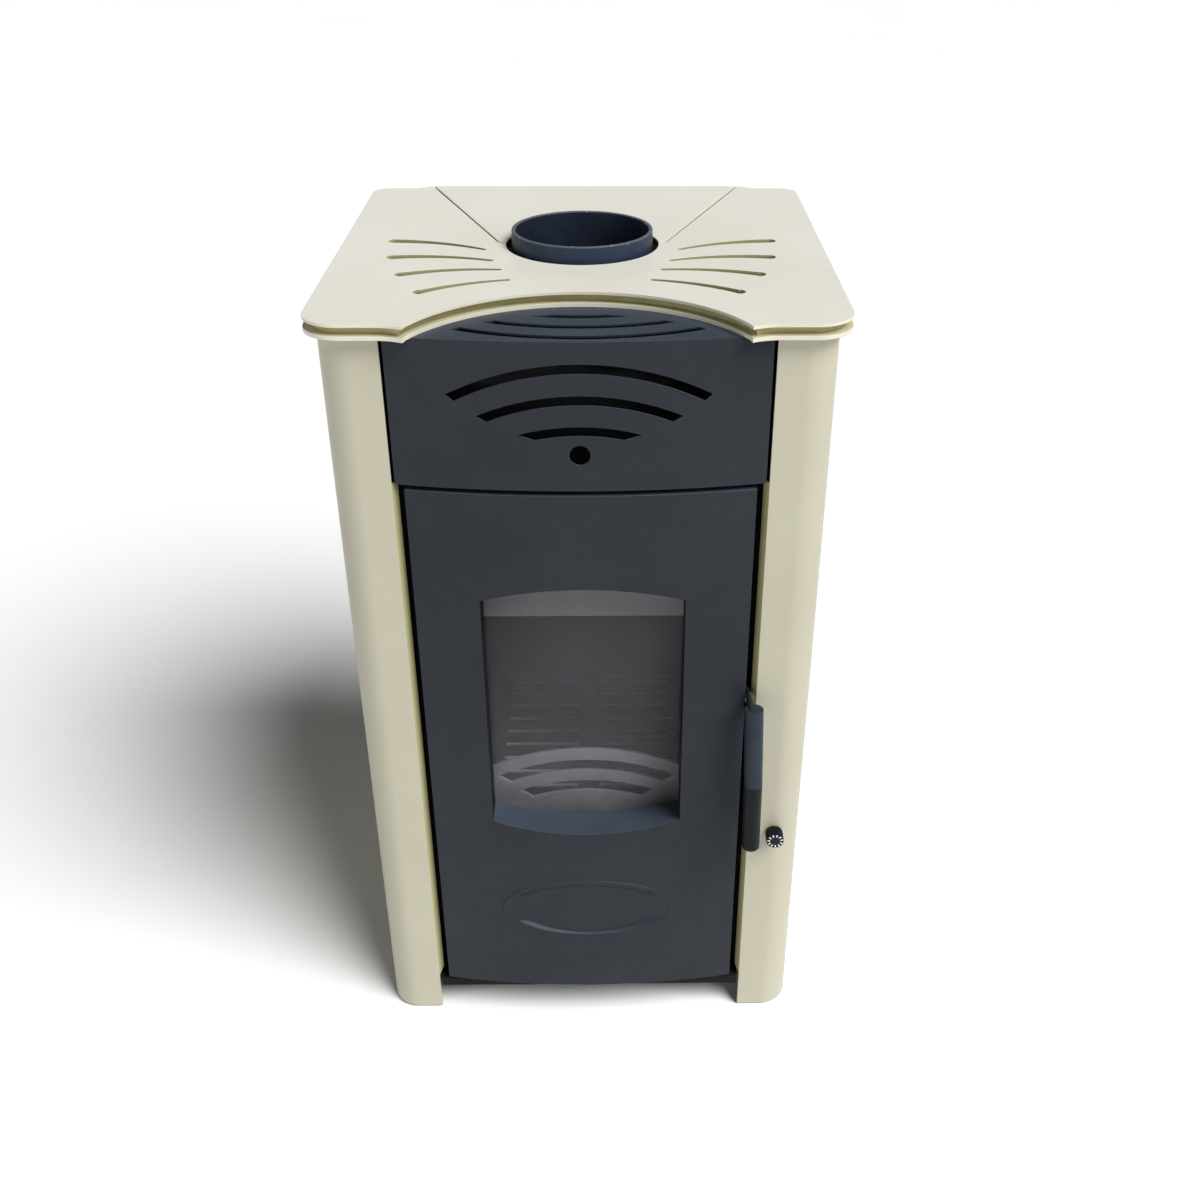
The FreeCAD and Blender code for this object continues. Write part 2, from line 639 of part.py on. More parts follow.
def tongue(inset):
    """The rear edge beside and along the tongue."""
    return [
        (f"insert_width / 2 + seam_gap + tongue_ramp - {inset}", f"plate_depth - {inset}"),
        (f"insert_width / 2 + seam_gap - {inset}", f"insert_rear - {inset}"),
    ]


def whisker(shares):
    """A tapered, bowed slot between an outer and an inner end."""
    outer_x, outer_y, inner_x, inner_y = [
        f"({share} * {size})" for share, size in zip(shares, ("half_plate", "plate_depth") * 2)
    ]
    wide = "whisker_outer_width / 2"
    narrow = "whisker_inner_width / 2"
    return [
        (inner_x, f"{inner_y} + {narrow}", RIGHT, "whisker_bow_radius"),
        (outer_x, f"{outer_y} + {wide}", RIGHT, wide),
        (f"{outer_x} + {wide}", outer_y, RIGHT, wide),
        (outer_x, f"{outer_y} - {wide}", LEFT, "whisker_bow_radius"),
        (inner_x, f"{inner_y} - {narrow}", RIGHT, narrow),
        (f"{inner_x} - {narrow}", inner_y, RIGHT, narrow),
    ]


def top_plate_upper():
    seam = [
        ("seam_shoulder", "flue_depth + shoulder_rise"),
        ("hole_radius", "flue_depth", RIGHT, "hole_radius"),
        ("0", "flue_depth - hole_radius"),
    ]
    body = new_body("top_plate_upper")
    prism(body, "XY", [mirrored(plate_front("0") + tongue("0") + seam)], "upper_low", "stove_height")
    slots = [whisker(shares) for shares in WHISKER_SHARES]
    slots += [flipped(slot) for slot in slots]
    opening(body, "XY", slots, "upper_low - overrun", "stove_height + overrun")


def top_plate_lower():
    body = new_body("top_plate_lower")
    rear = tongue("0") + [("0", "insert_rear")]
    hole = Circle("0", "flue_depth", "hole_radius")
    prism(body, "XY", [mirrored(plate_front("0") + rear), hole], "casing_top", "lower_top")


def top_spacer_frame():
    body = new_body("top_spacer_frame")
    rings = []
    for inset in ("spacer_inset", "(spacer_inset + spacer_thickness)"):
        rear = tongue(inset) + [("0", f"insert_rear - {inset}")]
        rings.append(mirrored(plate_front(inset) + rear))
    prism(body, "XY", rings, "lower_top", "upper_low")


def seam_supports():
    """Two strips between the plates, under the seams."""
    half = "seam_support_width / 2"
    rear = "plate_depth - spacer_inset - spacer_thickness - rest_gap"
    lean = "(insert_width / 2 - seam_shoulder) / (insert_rear - flue_depth)"
    far_x = f"seam_shoulder + ({rear} - flue_depth - shoulder_rise) * ({lean})"
    strip = [
        (f"seam_shoulder - {half}", "flue_depth + hole_radius / 2"),
        (f"seam_shoulder + {half}", "flue_depth + shoulder_rise"),
        (f"{far_x} + {half}", rear),
        (f"{far_x} - {half}", rear),
    ]
    body = new_body("seam_supports")
    prism(body, "XY", [strip, flipped(strip)], "lower_top", "upper_low")


def top_rear_insert():
    rim = "sqrt(hole_radius ^ 2 - seam_gap ^ 2)"
    half = [
        ("0", "flue_depth + hole_radius", RIGHT, "hole_radius"),
        (rim, "flue_depth + seam_gap"),
        ("seam_shoulder - seam_gap / 2", "flue_depth + shoulder_rise + seam_gap"),
        ("insert_width / 2", "insert_rear"),
        ("0", "insert_rear"),
    ]
    body = new_body("top_rear_insert")
    prism(body, "XY", [mirrored(half)], "upper_low + rest_gap", "stove_height")


# Flue

def flue():
    tube = [
        Circle("0", "flue_depth", "flue_radius"),
        Circle("0", "flue_depth", "flue_radius - flue_wall"),
    ]
    rim = Circle("0", "flue_depth", "flange_radius")
    collar = new_body("flue_collar")
    prism(collar, "XY", tube, "fire_top", "stove_height + flue_stand")
    prism(collar, "XY", [rim, tube[1]], "flange_low", "flange_high")
    seal = new_body("flue_seal")
    prism(seal, "XY", [rim, flue_hole()], "boiler_top", "flange_low")
    bolts = new_body("flue_flange_bolts")
    heads = [
        Circle(f"{sx} * flange_bolt_place", f"flue_depth + {sy} * flange_bolt_place", "flange_bolt_head / 2")
        for sx in (1, -1) for sy in (1, -1)
    ]
    prism(bolts, "XY", heads, "flange_high", "flange_high + flange_bolt_height")


# Casing

def span(place, near, far):
    """The two x positions in rising order, on the side that place puts them."""
    return sorted((place([(x, "0")])[0][0] for x in (near, far)), key=number)


def side_panel(label, place):
    """One sheet: inner fold, front return, rolled corner, side and rear flange."""
    sheet_path = [
        ("return_edge", "fold_rear"),
        ("return_edge + fold_lean", "casing_setback"),
        ("half_body - panel_corner", "casing_setback", LEFT, "panel_corner"),
        ("half_body", "casing_setback + panel_corner"),
        ("half_body", "casing_rear"),
        ("half_body - rear_flange", "casing_rear"),
        ("half_body - rear_flange", "casing_rear - panel_sheet"),
        ("half_body - panel_sheet", "casing_rear - panel_sheet"),
        ("half_body - panel_sheet", "casing_setback + panel_corner", RIGHT, "panel_corner - panel_sheet"),
        ("half_body - panel_corner", "casing_setback + panel_sheet"),
        ("fold_inner + fold_lean - panel_sheet * fold_lean / fold_depth", "casing_setback + panel_sheet"),
        ("fold_inner", "fold_rear"),
    ]
    body = new_body(label)
    prism(body, "XY", [place(sheet_path)], "floor_gap", "casing_top")
    foot_high = "base_top + base_side_play"
    foot = [
        ("casing_setback - overrun", "0"),
        ("fold_rear + overrun", "0"),
        ("fold_rear + overrun", f"{foot_high} + fold_bevel"),
        ("casing_setback - overrun", foot_high),
    ]
    opening(body, "YZ", [foot], *span(place, "return_edge - overrun", "return_edge + fold_lean"))
    head = rectangle(
        "casing_setback - overrun", "fold_rear + overrun",
        "front_panel_low - rest_gap", "casing_top + overrun",
    )
    opening(body, "YZ", [head], *span(place, "return_edge - overrun", "half_front + return_gap"))
    return body


def side_panels():
    side_panel("side_panel_left", flipped)
    right = side_panel("side_panel_right", list)
    hole = Circle("knob_x", "knob_height", "bush_radius + weld_gap")
    opening(right, "XZ", [hole], "casing_setback - overrun", "casing_setback + panel_sheet + overrun")


def socket_places():
    return [("socket_side", "flow_height"), ("socket_side", "return_height")]


def rear_panel():
    height = "(casing_top - rear_panel_low)"
    outline = rectangle("-half_rear_panel", "half_rear_panel", "rear_panel_low", "casing_top")
    body = new_body("rear_panel")
    prism(body, "XZ", [outline], "casing_rear", "rear_panel_rear")
    holes = [Circle(x, z, "socket_diameter / 2 + socket_hole_play") for x, z in socket_places()]
    holes.append(Circle("-socket_side", "return_height", "drain_diameter / 2 + socket_hole_play"))
    vent_low = "casing_top - rear_vent_drop - rear_vent_height"
    for k in range(REAR_VENTS):
        middle = f"({k} - ({REAR_VENTS} - 1) / 2) * rear_vent_pitch"
        holes.append(rounded_rectangle(
            f"{middle} - rear_vent_width / 2", f"{middle} + rear_vent_width / 2",
            vent_low, f"{vent_low} + rear_vent_height", "rear_vent_height / 4"))
    opening(body, "XZ", holes, "casing_rear - overrun", "rear_panel_rear + overrun")
    screws = new_body("rear_panel_screws")
    across = "half_body - rear_flange / 2 - panel_sheet"
    heads = [
        Circle(f"{side} * ({across})", f"rear_panel_low + {share} * {height}", "screw_head / 2")
        for side in (1, -1) for share in REAR_SCREW_SHARES
    ]
    prism(screws, "XZ", heads, "rear_panel_rear", "rear_panel_rear + screw_head_height")


# Bowed front

def bowed_tray(half_width, rear):
    """Plan of a bowed sheet whose two sides are bent back."""
    inner = f"({half_width} - front_sheet)"
    return mirrored([
        ("0", "bow_crown", LEFT, "bow_radius"),
        (half_width, bow("bow_radius", half_width)),
        (half_width, rear),
        (inner, rear),
        (inner, bow("bow_radius - front_sheet", inner), RIGHT, "bow_radius - front_sheet"),
        ("0", "bow_crown + front_sheet"),
    ])


def bowed_shelf(half_width, rear):
    """Plan of a flat piece behind the bowed front."""
    return mirrored([
        ("0", "bow_crown", LEFT, "bow_radius"),
        (half_width, bow("bow_radius", half_width)),
        (half_width, rear),
        ("0", rear),
    ])


def upper_front_panel():
    body = new_body("upper_front_panel")
    prism(body, "XY", [bowed_tray("half_front", "boiler_setback")], "front_panel_low", "shelf_low")
    prism(body, "XY", [bowed_shelf("half_front", "shelf_reach")], "shelf_low", "casing_top")
    hem = bowed_shelf("half_front", "casing_setback + lower_hem")
    prism(body, "XY", [hem], "front_panel_low", "front_panel_low + front_sheet")
    shelf_centre = "bow_crown + fan_margin + fan_radius"
    shelf_cuts = slot_fan(shelf_centre, -1, "shelf_clip_radius", "shelf_clip_offset")
    opening(body, "XY", shelf_cuts, "shelf_low - overrun", "casing_top + overrun")
    front_cuts = slot_fan("casing_top - fan_drop", 1, "fan_clip_radius", "fan_clip_offset")
    front_cuts.append(Circle("0", "casing_top - sight_hole_drop", "sight_hole_diameter / 2"))
    opening(body, "XZ", front_cuts, "bow_crown - overrun", "casing_setback + front_sheet")


# Door

def window_outline(margin):
    """The window's outline, grown evenly by a margin."""
    side = f"(half_window + {margin})"
    radius = f"(window_radius + {margin})"
    reach = f"sqrt({radius} ^ 2 - {side} ^ 2)"
    return [
        (minus(side), f"arch_low_centre - {reach}", LEFT, radius),
        (side, f"arch_low_centre - {reach}"),
        (side, f"arch_top_centre + {reach}", LEFT, radius),
        (minus(side), f"arch_top_centre + {reach}"),
    ]


def ear_bottoms():
    return ("ear_low_bottom", "ear_high_bottom")


def cut_hinge_notches(body, right_end):
    """Let the hinge brackets pass through the left side of a door piece."""
    for bottom in ear_bottoms():
        notch = rectangle("-half_door - overrun", right_end, "hinge_depth - hinge_notch_front",
                          "door_tray_rear + overrun")
        opening(body, "XY", [notch], f"{bottom} - hinge_notch_play",
                f"{bottom} + hinge_ear_thickness + hinge_notch_play")


def door_skin():
    body = new_body("door_skin")
    prism(body, "XY", [bowed_tray("half_door", "door_tray_rear")], "door_low", "door_high")
    hem = bowed_shelf("half_door", "door_tray_rear")
    prism(body, "XY", [hem], "door_low", "door_low + front_sheet")
    prism(body, "XY", [hem], "door_high - front_sheet", "door_high")
    opening(body, "XZ", [window_outline("0")], "bow_crown - overrun", "hinge_depth")
    cut_hinge_notches(body, "-door_inner + overrun")
    pin_hole = Circle("lever_pivot_depth", "lever_pivot_height", "lever_pin_diameter / 2 + hinge_fit")
    opening(body, "YZ", [pin_hole], "door_inner - overrun", "half_door + overrun")


def window_surround():
    """The deep reveal, coped to the bowed skin in front, with a flange for the glass behind."""
    body = new_body("window_surround")
    wall = [window_outline("surround_sheet"), window_outline("0")]
    prism(body, "XZ", wall, "bow_crown", "glass_seat")
    flange = [window_outline("surround_flange"), window_outline("0")]
    prism(body, "XZ", flange, "glass_seat - surround_sheet", "glass_seat")
    inner = "(bow_radius - front_sheet)"
    front = mirrored([
        ("0", "bow_crown + front_sheet", LEFT, inner),
        ("flange_edge", bow(inner, "flange_edge")),
        ("flange_edge", "bow_crown - overrun"),
        ("0", "bow_crown - overrun"),
    ])
    opening(body, "XY", [front], "door_low", "door_high")


def window_glazing():
    seal = new_body("glass_seal")
    prism(seal, "XZ", [window_outline("glass_margin"), window_outline("surround_sheet")],
          "glass_seat", "seal_rear")
    glass = new_body("window_glass")
    prism(glass, "XZ", [window_outline("glass_margin")], "seal_rear", "glass_rear")


def glass_clips():
    """Four bent clips that hold the glass on the surround's flange, each with a screw."""
    lip = "glass_rear + clip_play"
    web = "glass_edge + clip_play"
    profile = [
        ("flange_edge", "glass_seat"),
        ("flange_edge", "glass_seat + clip_sheet"),
        (f"{web} + clip_sheet", "glass_seat + clip_sheet"),
        (f"{web} + clip_sheet", f"{lip} + clip_sheet"),
        ("glass_edge - clip_lap", f"{lip} + clip_sheet"),
        ("glass_edge - clip_lap", lip),
        (web, lip),
        (web, "glass_seat"),
    ]
    bottoms = ("window_low + clip_inset", "window_high - clip_inset - clip_height")
    clips = new_body("glass_clips")
    for bottom in bottoms:
        prism(clips, "XY", [profile, flipped(profile)], bottom, f"{bottom} + clip_height")
    screws = new_body("glass_clip_screws")
    across = f"(flange_edge + {web} + clip_sheet) / 2"
    heads = [
        Circle(f"{side} * ({across})", f"{bottom} + clip_height / 2", "clip_screw_head / 2")
        for side in (1, -1) for bottom in bottoms
    ]
    prism(screws, "XZ", heads, "glass_seat + clip_sheet", "glass_rear")


def door_inner_frame():
    body = new_body("door_inner_frame")
    outer = rectangle("-door_inner", "door_inner", "door_low + front_sheet", "door_high - front_sheet")
    hole = rectangle("-frame_edge", "frame_edge", "window_low - window_arch - surround_flange - frame_relief",
                     "window_high + window_arch + surround_flange + frame_relief")
    prism(body, "XZ", [outer, hole], "frame_front", "door_tray_rear")
    cut_hinge_notches(body, "hinge_x + hinge_ear_width / 2 + hinge_notch_play")


def ring(inner_offset, outer_offset):
    """A ring along the gasket's run, between two offsets from its middle."""
    return [
        rounded_rectangle(
            f"-(gasket_side + {offset})", f"(gasket_side + {offset})",
            f"(gasket_low - {offset})", f"(gasket_high + {offset})", f"(gasket_corner + {offset})")
        for offset in (outer_offset, inner_offset)
    ]


def door_gasket():
    half = "gasket_width / 2"
    gasket = new_body("door_gasket")
    prism(gasket, "XZ", ring(f"(0 - {half})", half), "door_tray_rear", "boiler_setback - rest_gap")
    strips = new_body("gasket_retainers")
    near = f"({half} + retainer_play)"
    far = f"({near} + retainer_sheet)"
    rings = ring(near, far) + ring(f"(0 - {far})", f"(0 - {near})")
    prism(strips, "XZ", rings, "door_tray_rear", "door_tray_rear + retainer_height")


# Hinge

def hinge():
    pin = Circle("hinge_x", "hinge_depth", "hinge_pin_radius")
    ear_bore = Circle("hinge_x", "hinge_depth", "hinge_pin_radius + hinge_fit")
    nose = "hinge_ear_width / 2"
    ear = [
        (f"hinge_x + {nose}", "boiler_setback"),
        (f"hinge_x + {nose}", "hinge_depth", RIGHT, nose),
        ("hinge_x", f"hinge_depth - {nose}", RIGHT, nose),
        (f"hinge_x - {nose}", "hinge_depth"),
        (f"hinge_x - {nose}", "boiler_setback"),
    ]
    lug = rectangle("-door_inner", "hinge_x + hinge_lug_reach",
                    "hinge_depth - hinge_notch_front", "frame_front")
    brackets = new_body("hinge_brackets")
    pins = new_body("hinge_pins")
    lugs = new_body("door_hinge_lugs")
    for bottom in ear_bottoms():
        ear_top = f"({bottom} + hinge_ear_thickness)"
        lug_low = f"({ear_top} + rest_gap)"
        lug_high = f"({lug_low} + hinge_lug_thickness)"
        prism(brackets, "XY", [ear, ear_bore], bottom, ear_top)
        prism(pins, "XY", [pin], bottom, f"{lug_high} + hinge_pin_stand")
        prism(lugs, "XY", [lug, ear_bore], lug_low, lug_high)


# Handle and catch

def handle_lever():
    """A flat lever: hook behind, boss round the pivot, curved arm and tang in front."""
    pivot_y = "lever_pivot_depth"
    pivot_z = "lever_pivot_height"
    bed_y = f"{pivot_y} + sqrt(lever_boss ^ 2 - ({pivot_z} - hook_bed) ^ 2)"
    outline = [
        ("tooth_rear", "tooth_top"),
        ("tooth_front", "tooth_top"),
        ("tooth_front", "hook_bed"),
        (bed_y, "hook_bed", LEFT, "lever_boss"),
        (pivot_y, f"{pivot_z} + lever_boss", LEFT, "lever_arm_bow"),
        ("tang_front", "grip_top"),
        ("tang_front", "grip_top - tang_length"),
        ("tang_rear", "grip_top - tang_length"),
        ("tang_rear", f"{pivot_z} - lever_arm_neck"),
        (pivot_y, f"{pivot_z} - hook_base"),
        ("tooth_rear", f"{pivot_z} - hook_base"),
    ]
    bore = Circle(pivot_y, pivot_z, "lever_pin_diameter / 2 + hinge_fit")
    body = new_body("handle_lever")
    prism(body, "YZ", [outline, bore], "lever_left", "lever_right")


def handle_pivot_pin():
    pin = Circle("lever_pivot_depth", "lever_pivot_height", "lever_pin_diameter / 2")
    head = Circle("lever_pivot_depth", "lever_pivot_height", "lever_pin_head / 2")
    body = new_body("handle_pivot_pin")
    prism(body, "YZ", [pin], "door_inner - lever_pin_tail", "lever_right + rest_gap")
    prism(body, "YZ", [head], "half_door", "lever_left - rest_gap")
    head_base = "door_inner - lever_pin_tail"
    prism(body, "YZ", [head], head_base, f"{head_base} + lever_pin_head_height")
    prism(body, "YZ", [head], "lever_right + rest_gap", "lever_right + rest_gap + lever_pin_head_height")


def handle_grip():
    """A round grip with a bend in its middle, leaning a little to the right."""
    splay = "grip_splay * grip_kink_drop / grip_length"
    sections = [
        ("grip_top", "grip_x", "-grip_top_reach"),
        ("grip_top - grip_kink_drop", f"grip_x + {splay}", "-grip_kink_reach"),
        ("grip_low", "grip_x + grip_splay", "-grip_low_reach"),
    ]
    body = new_body("handle_grip")
    rings = [draw(body, "XY", z, [Circle(x, y, "grip_diameter / 2")]) for z, x, y in sections]
    loft = body.newObject("PartDesign::AdditiveLoft", "grip_loft")
    loft.Profile = rings[0]
    loft.Sections = rings[1:]
    loft.Ruled = True
    doc.recompute()
    lower = [
        f"Edge{k}" for k, edge in enumerate(loft.Shape.Edges, start=1)
        if edge.BoundBox.ZMax < number("grip_low + grip_rounding")
    ]
    fillet = body.newObject("PartDesign::Fillet", "grip_fillet")
    fillet.Base = (loft, lower)
    fillet.setExpression("Radius", bound("grip_rounding"))
    seat = rectangle(
        "tang_front", "tang_rear + grip_diameter",
        "grip_top - tang_length", "grip_top + overrun",
    )
    opening(body, "YZ", [seat], "lever_left", "lever_right")


def catch():
    """The bracket on the boiler front whose pin the lever hooks."""
    low = "(catch_pin_height - catch_height / 2)"
    high = "(catch_pin_height + catch_height / 2)"
    blade = [
        ("catch_pin_depth", "catch_pin_height - catch_nose"),
        ("boiler_setback", low),
        ("boiler_setback", high),
        ("catch_pin_depth", "catch_pin_height + catch_nose", LEFT, "catch_nose"),
        ("catch_pin_depth - catch_nose", "catch_pin_height", LEFT, "catch_nose"),
    ]
    bore = Circle("catch_pin_depth", "catch_pin_height", "catch_pin_radius + hinge_fit")
    bracket = new_body("catch_bracket")
    prism(bracket, "YZ", [blade, bore], "catch_left", "catch_right")
    foot = rectangle("catch_right", "catch_right + catch_foot", low, high)
    prism(bracket, "XZ", [foot], "boiler_setback - catch_sheet", "boiler_setback")
    pin = new_body("catch_pin")
    shaft = Circle("catch_pin_depth", "catch_pin_height", "catch_pin_radius")
    prism(pin, "YZ", [shaft], "lever_left - rest_gap", "catch_right")


# Air control

def air_knob():
    face = "knob_rear - knob_length"
    rim = "knob_diameter / 2"
    body = new_body("air_knob")
    prism(body, "XZ", [Circle("knob_x", "knob_height", rim)], face, "knob_rear")
    grooves = []
    for k in range(KNURL_GROOVES):
        angle = f"({k} * 360 / {KNURL_GROOVES})"
        grooves.append(Circle(
            f"knob_x + {rim} * cos({angle})", f"knob_height + {rim} * sin({angle})", "knurl_diameter / 2"))
    opening(body, "XZ", grooves, f"{face} - overrun", "knob_rear + overrun")
    bore = Circle("knob_x", "knob_height", "spindle_radius")
    opening(body, "XZ", [bore], "knob_rear - spindle_in_knob", "knob_rear + overrun")
    spindle = new_body("knob_spindle")
    prism(spindle, "XZ", [bore], "knob_rear - spindle_in_knob", "spindle_end")


def spindle_bush():
    front = "casing_setback - bush_collar"
    bore = Circle("knob_x", "knob_height", "bush_bore")
    body = new_body("spindle_bush")
    collar = Circle("knob_x", "knob_height", "bush_radius + bush_collar")
    prism(body, "XZ", [collar, bore], front, "casing_setback")
    tube = Circle("knob_x", "knob_height", "bush_radius")
    prism(body, "XZ", [tube, bore], front, f"{front} + bush_collar + bush_length")


def air_regulator():
    half = "regulator_height / 2"
    outline = rounded_rectangle("half_boiler", "(half_boiler + regulator_width)", f"(knob_height - {half})",
                                f"(knob_height + {half})", "regulator_corner")
    rear = "regulator_front + regulator_depth"
    body = new_body("air_regulator_housing")
    prism(body, "XZ", [outline], "regulator_front", rear)
    bore = Circle("knob_x", "knob_height", "bush_bore")
    opening(body, "XZ", [bore], "regulator_front - overrun", "spindle_end + rest_gap")


def duct_outline(offset):
    return rectangle(
        f"duct_front - {offset}", f"duct_rear + {offset}",
        f"duct_low - {offset}", f"duct_high + {offset}",
    )


def duct_hole():
    return duct_outline("weld_gap")


def flue_hole():
    return Circle("0", "flue_depth", "flue_radius + weld_gap")


def air_inlet():
    """The duct through the water jacket, the flap that hangs before it, and the flap's pin."""
    duct = new_body("air_inlet_duct")
    prism(duct, "YZ", [duct_outline("0"), duct_outline("(0 - duct_sheet)")], "half_fire", "duct_mouth")
    pin = Circle("flap_pin_x", "flap_pin_height", "flap_pin_diameter / 2")
    ear = rectangle("half_boiler", "flap_pin_x + flap_barrel", "duct_high", "flap_pin_height + flap_barrel")
    ear_bore = Circle("flap_pin_x", "flap_pin_height", "flap_bore")
    for front in ("duct_front", "duct_rear - flap_ear"):
        prism(duct, "XZ", [ear, ear_bore], front, f"{front} + flap_ear")
    rod = new_body("flap_hinge_pin")
    prism(rod, "XZ", [pin], "duct_front", "duct_rear")
    flap = new_body("air_flap")
    near = "duct_front + flap_ear + rest_gap"
    far = "duct_rear - flap_ear - rest_gap"
    low = "duct_low - flap_lap"
    shoulder = "duct_high - flap_sheet"
    plate = [
        ("duct_front - flap_lap", low),
        ("duct_rear + flap_lap", low),
        ("duct_rear + flap_lap", shoulder),
        (far, shoulder),
        (far, "flap_pin_height"),
        (near, "flap_pin_height"),
        (near, shoulder),
        ("duct_front - flap_lap", shoulder),
    ]
    prism(flap, "YZ", [plate], "flap_left", "flap_right")
    barrel = Circle("flap_pin_x", "flap_pin_height", "flap_barrel")
    prism(flap, "XZ", [barrel], near, far)
    opening(flap, "XZ", [ear_bore], f"{near} - overrun", f"{far} + overrun")


# Base

def base_plate():
    throat = "return_edge + fold_lean - base_side_play"
    half = [
        ("0", "base_setback"),
        (throat, "base_setback"),
        (throat, "fold_rear + base_side_play"),
        ("half_body - panel_corner", "fold_rear + base_side_play"),
        ("base_side", "casing_setback + panel_corner"),
        ("base_side", "base_rear"),
        ("0", "base_rear"),
    ]
    body = new_body("base_plate")
    prism(body, "XY", [mirrored(half)], "base_low", "base_top")
    lip = rectangle(minus(throat), throat, "base_top - base_lip", "base_top")
    prism(body, "XZ", [lip], "base_setback", "base_setback + base_sheet")


def levelling_feet():
    spots = [
        (f"{side} * (base_side - foot_inset)", depth)
        for side in (1, -1) for depth in ("fold_rear + foot_inset", "base_rear - foot_inset")
    ]
    body = new_body("levelling_feet")
    prism(body, "XY", [Circle(x, y, "foot_diameter / 2") for x, y in spots], "0", "foot_pad")
    prism(body, "XY", [Circle(x, y, "foot_stem / 2") for x, y in spots], "0", "base_low")


# Boiler

def jacket_plates():
    """The outer plates of the water jacket."""
    inside = "half_boiler - boiler_wall"
    rear = "boiler_rear - boiler_wall"
    side = rectangle("shell_front", "boiler_rear", "base_top", "boiler_top")
    left = new_body("jacket_side_left")
    prism(left, "YZ", [side], "-half_boiler", "boiler_wall - half_boiler")
    right = new_body("jacket_side_right")
    prism(right, "YZ", [side, duct_hole()], inside, "half_boiler")
    back = new_body("jacket_rear")
    wall = rectangle(minus(inside), inside, "base_top", "boiler_top")
    taps = [Circle(x, z, "socket_bore / 2 + weld_gap") for x, z in socket_places()]
    taps.append(Circle("-socket_side", "return_height", "drain_diameter / 4"))
    prism(back, "XZ", [wall] + taps, rear, "boiler_rear")
    cover = rectangle(minus(inside), inside, "shell_front", rear)
    roof = new_body("jacket_top")
    prism(roof, "XY", [cover, flue_hole()], "boiler_top - boiler_wall", "boiler_top")
    floor = new_body("jacket_floor")
    prism(floor, "XY", [cover], "base_top", "fire_floor")


def firebox_plates():
    """The inner plates of the water jacket: sides, rear wall and roof of the firebox."""
    side = rectangle("shell_front", "inner_rear", "fire_floor", "inner_top")
    left = new_body("firebox_side_left")
    prism(left, "YZ", [side], "-half_inner", "-half_fire")
    right = new_body("firebox_side_right")
    prism(right, "YZ", [side, duct_hole()], "half_fire", "half_inner")
    back = new_body("firebox_rear")
    wall = rectangle("-half_fire", "half_fire", "fire_floor", "inner_top")
    prism(back, "XZ", [wall], "fire_rear", "inner_rear")
    roof = new_body("firebox_roof")
    cover = rectangle("-half_fire", "half_fire", "shell_front", "fire_rear")
    prism(roof, "XY", [cover, flue_hole()], "fire_top", "inner_top")


def boiler_front_plate():
    body = new_body("boiler_front_plate")
    plate = rectangle("-half_boiler", "half_boiler", "base_top", "boiler_top")
    mouth = rectangle("-mouth_width / 2", "mouth_width / 2", "mouth_low", "mouth_high")
    prism(body, "XZ", [plate, mouth], "boiler_setback", "shell_front")


def water_sockets():
    for label, (x, z) in zip(("flow_socket", "return_socket"), socket_places()):
        body = new_body(label)
        ring_pair = [Circle(x, z, "socket_diameter / 2"), Circle(x, z, "socket_bore / 2")]
        prism(body, "XZ", ring_pair, "boiler_rear", "socket_end")
    drain = new_body("drain_socket")
    tube = [Circle("-socket_side", "return_height", f"drain_diameter / {share}") for share in (2, 4)]
    prism(drain, "XZ", tube, "boiler_rear", "drain_end")
    plug = new_body("drain_plug")
    corners = []
    for k in range(HEX_CORNERS):
        angle = f"({k} * 360 / {HEX_CORNERS})"
        corners.append((f"drain_plug_head / 2 * cos({angle}) - socket_side",
                        f"drain_plug_head / 2 * sin({angle}) + return_height"))
    prism(plug, "XZ", [corners], "drain_end", "drain_end + drain_plug_height")


# Fire

def grate_slot(left, right, middle):
    end = "grate_slot_width / 2"
    return [
        (left, f"{middle} - {end}"),
        (right, f"{middle} - {end}", LEFT, end),
        (f"{right} + {end}", middle, LEFT, end),
        (right, f"{middle} + {end}"),
        (left, f"{middle} + {end}", LEFT, end),
        (f"{left} - {end}", middle, LEFT, end),
    ]


def grate():
    body = new_body("grate")
    front = "(shell_front + grate_play)"
    outline = rectangle("-half_grate", "half_grate", front, "fire_rear - grate_play")
    prism(body, "XY", [outline], "grate_low", "grate_height")
    near = "grate_rib / 2 + grate_slot_width / 2"
    far = "grate_rib / 2 + grate_slot_length - grate_slot_width / 2"
    slot = grate_slot(near, far, f"({front} + grate_first_slot)")
    pair = opening(body, "XY", [slot, flipped(slot)], "grate_low - overrun", "grate_height + overrun")
    rows = body.newObject("PartDesign::LinearPattern", "grate_rows")
    rows.Originals = [pair]
    rows.Direction = (pair.Profile[0], ["V_Axis"])
    rows.Occurrences = GRATE_ROWS
    rows.setExpression("Length", bound(f"({GRATE_ROWS} - 1) * grate_slot_pitch"))
    body.Tip = rows
    rails = new_body("grate_rails")
    angle = [
        ("half_fire", "grate_low"),
        ("half_fire - rail_leg", "grate_low"),
        ("half_fire - rail_leg", "grate_low - rail_sheet"),
        ("half_fire - rail_sheet", "grate_low - rail_sheet"),
        ("half_fire - rail_sheet", "grate_low - rail_leg"),
        ("half_fire", "grate_low - rail_leg"),
    ]
    prism(rails, "XZ", [angle, flipped(angle)], "shell_front + grate_play", "fire_rear - grate_play")


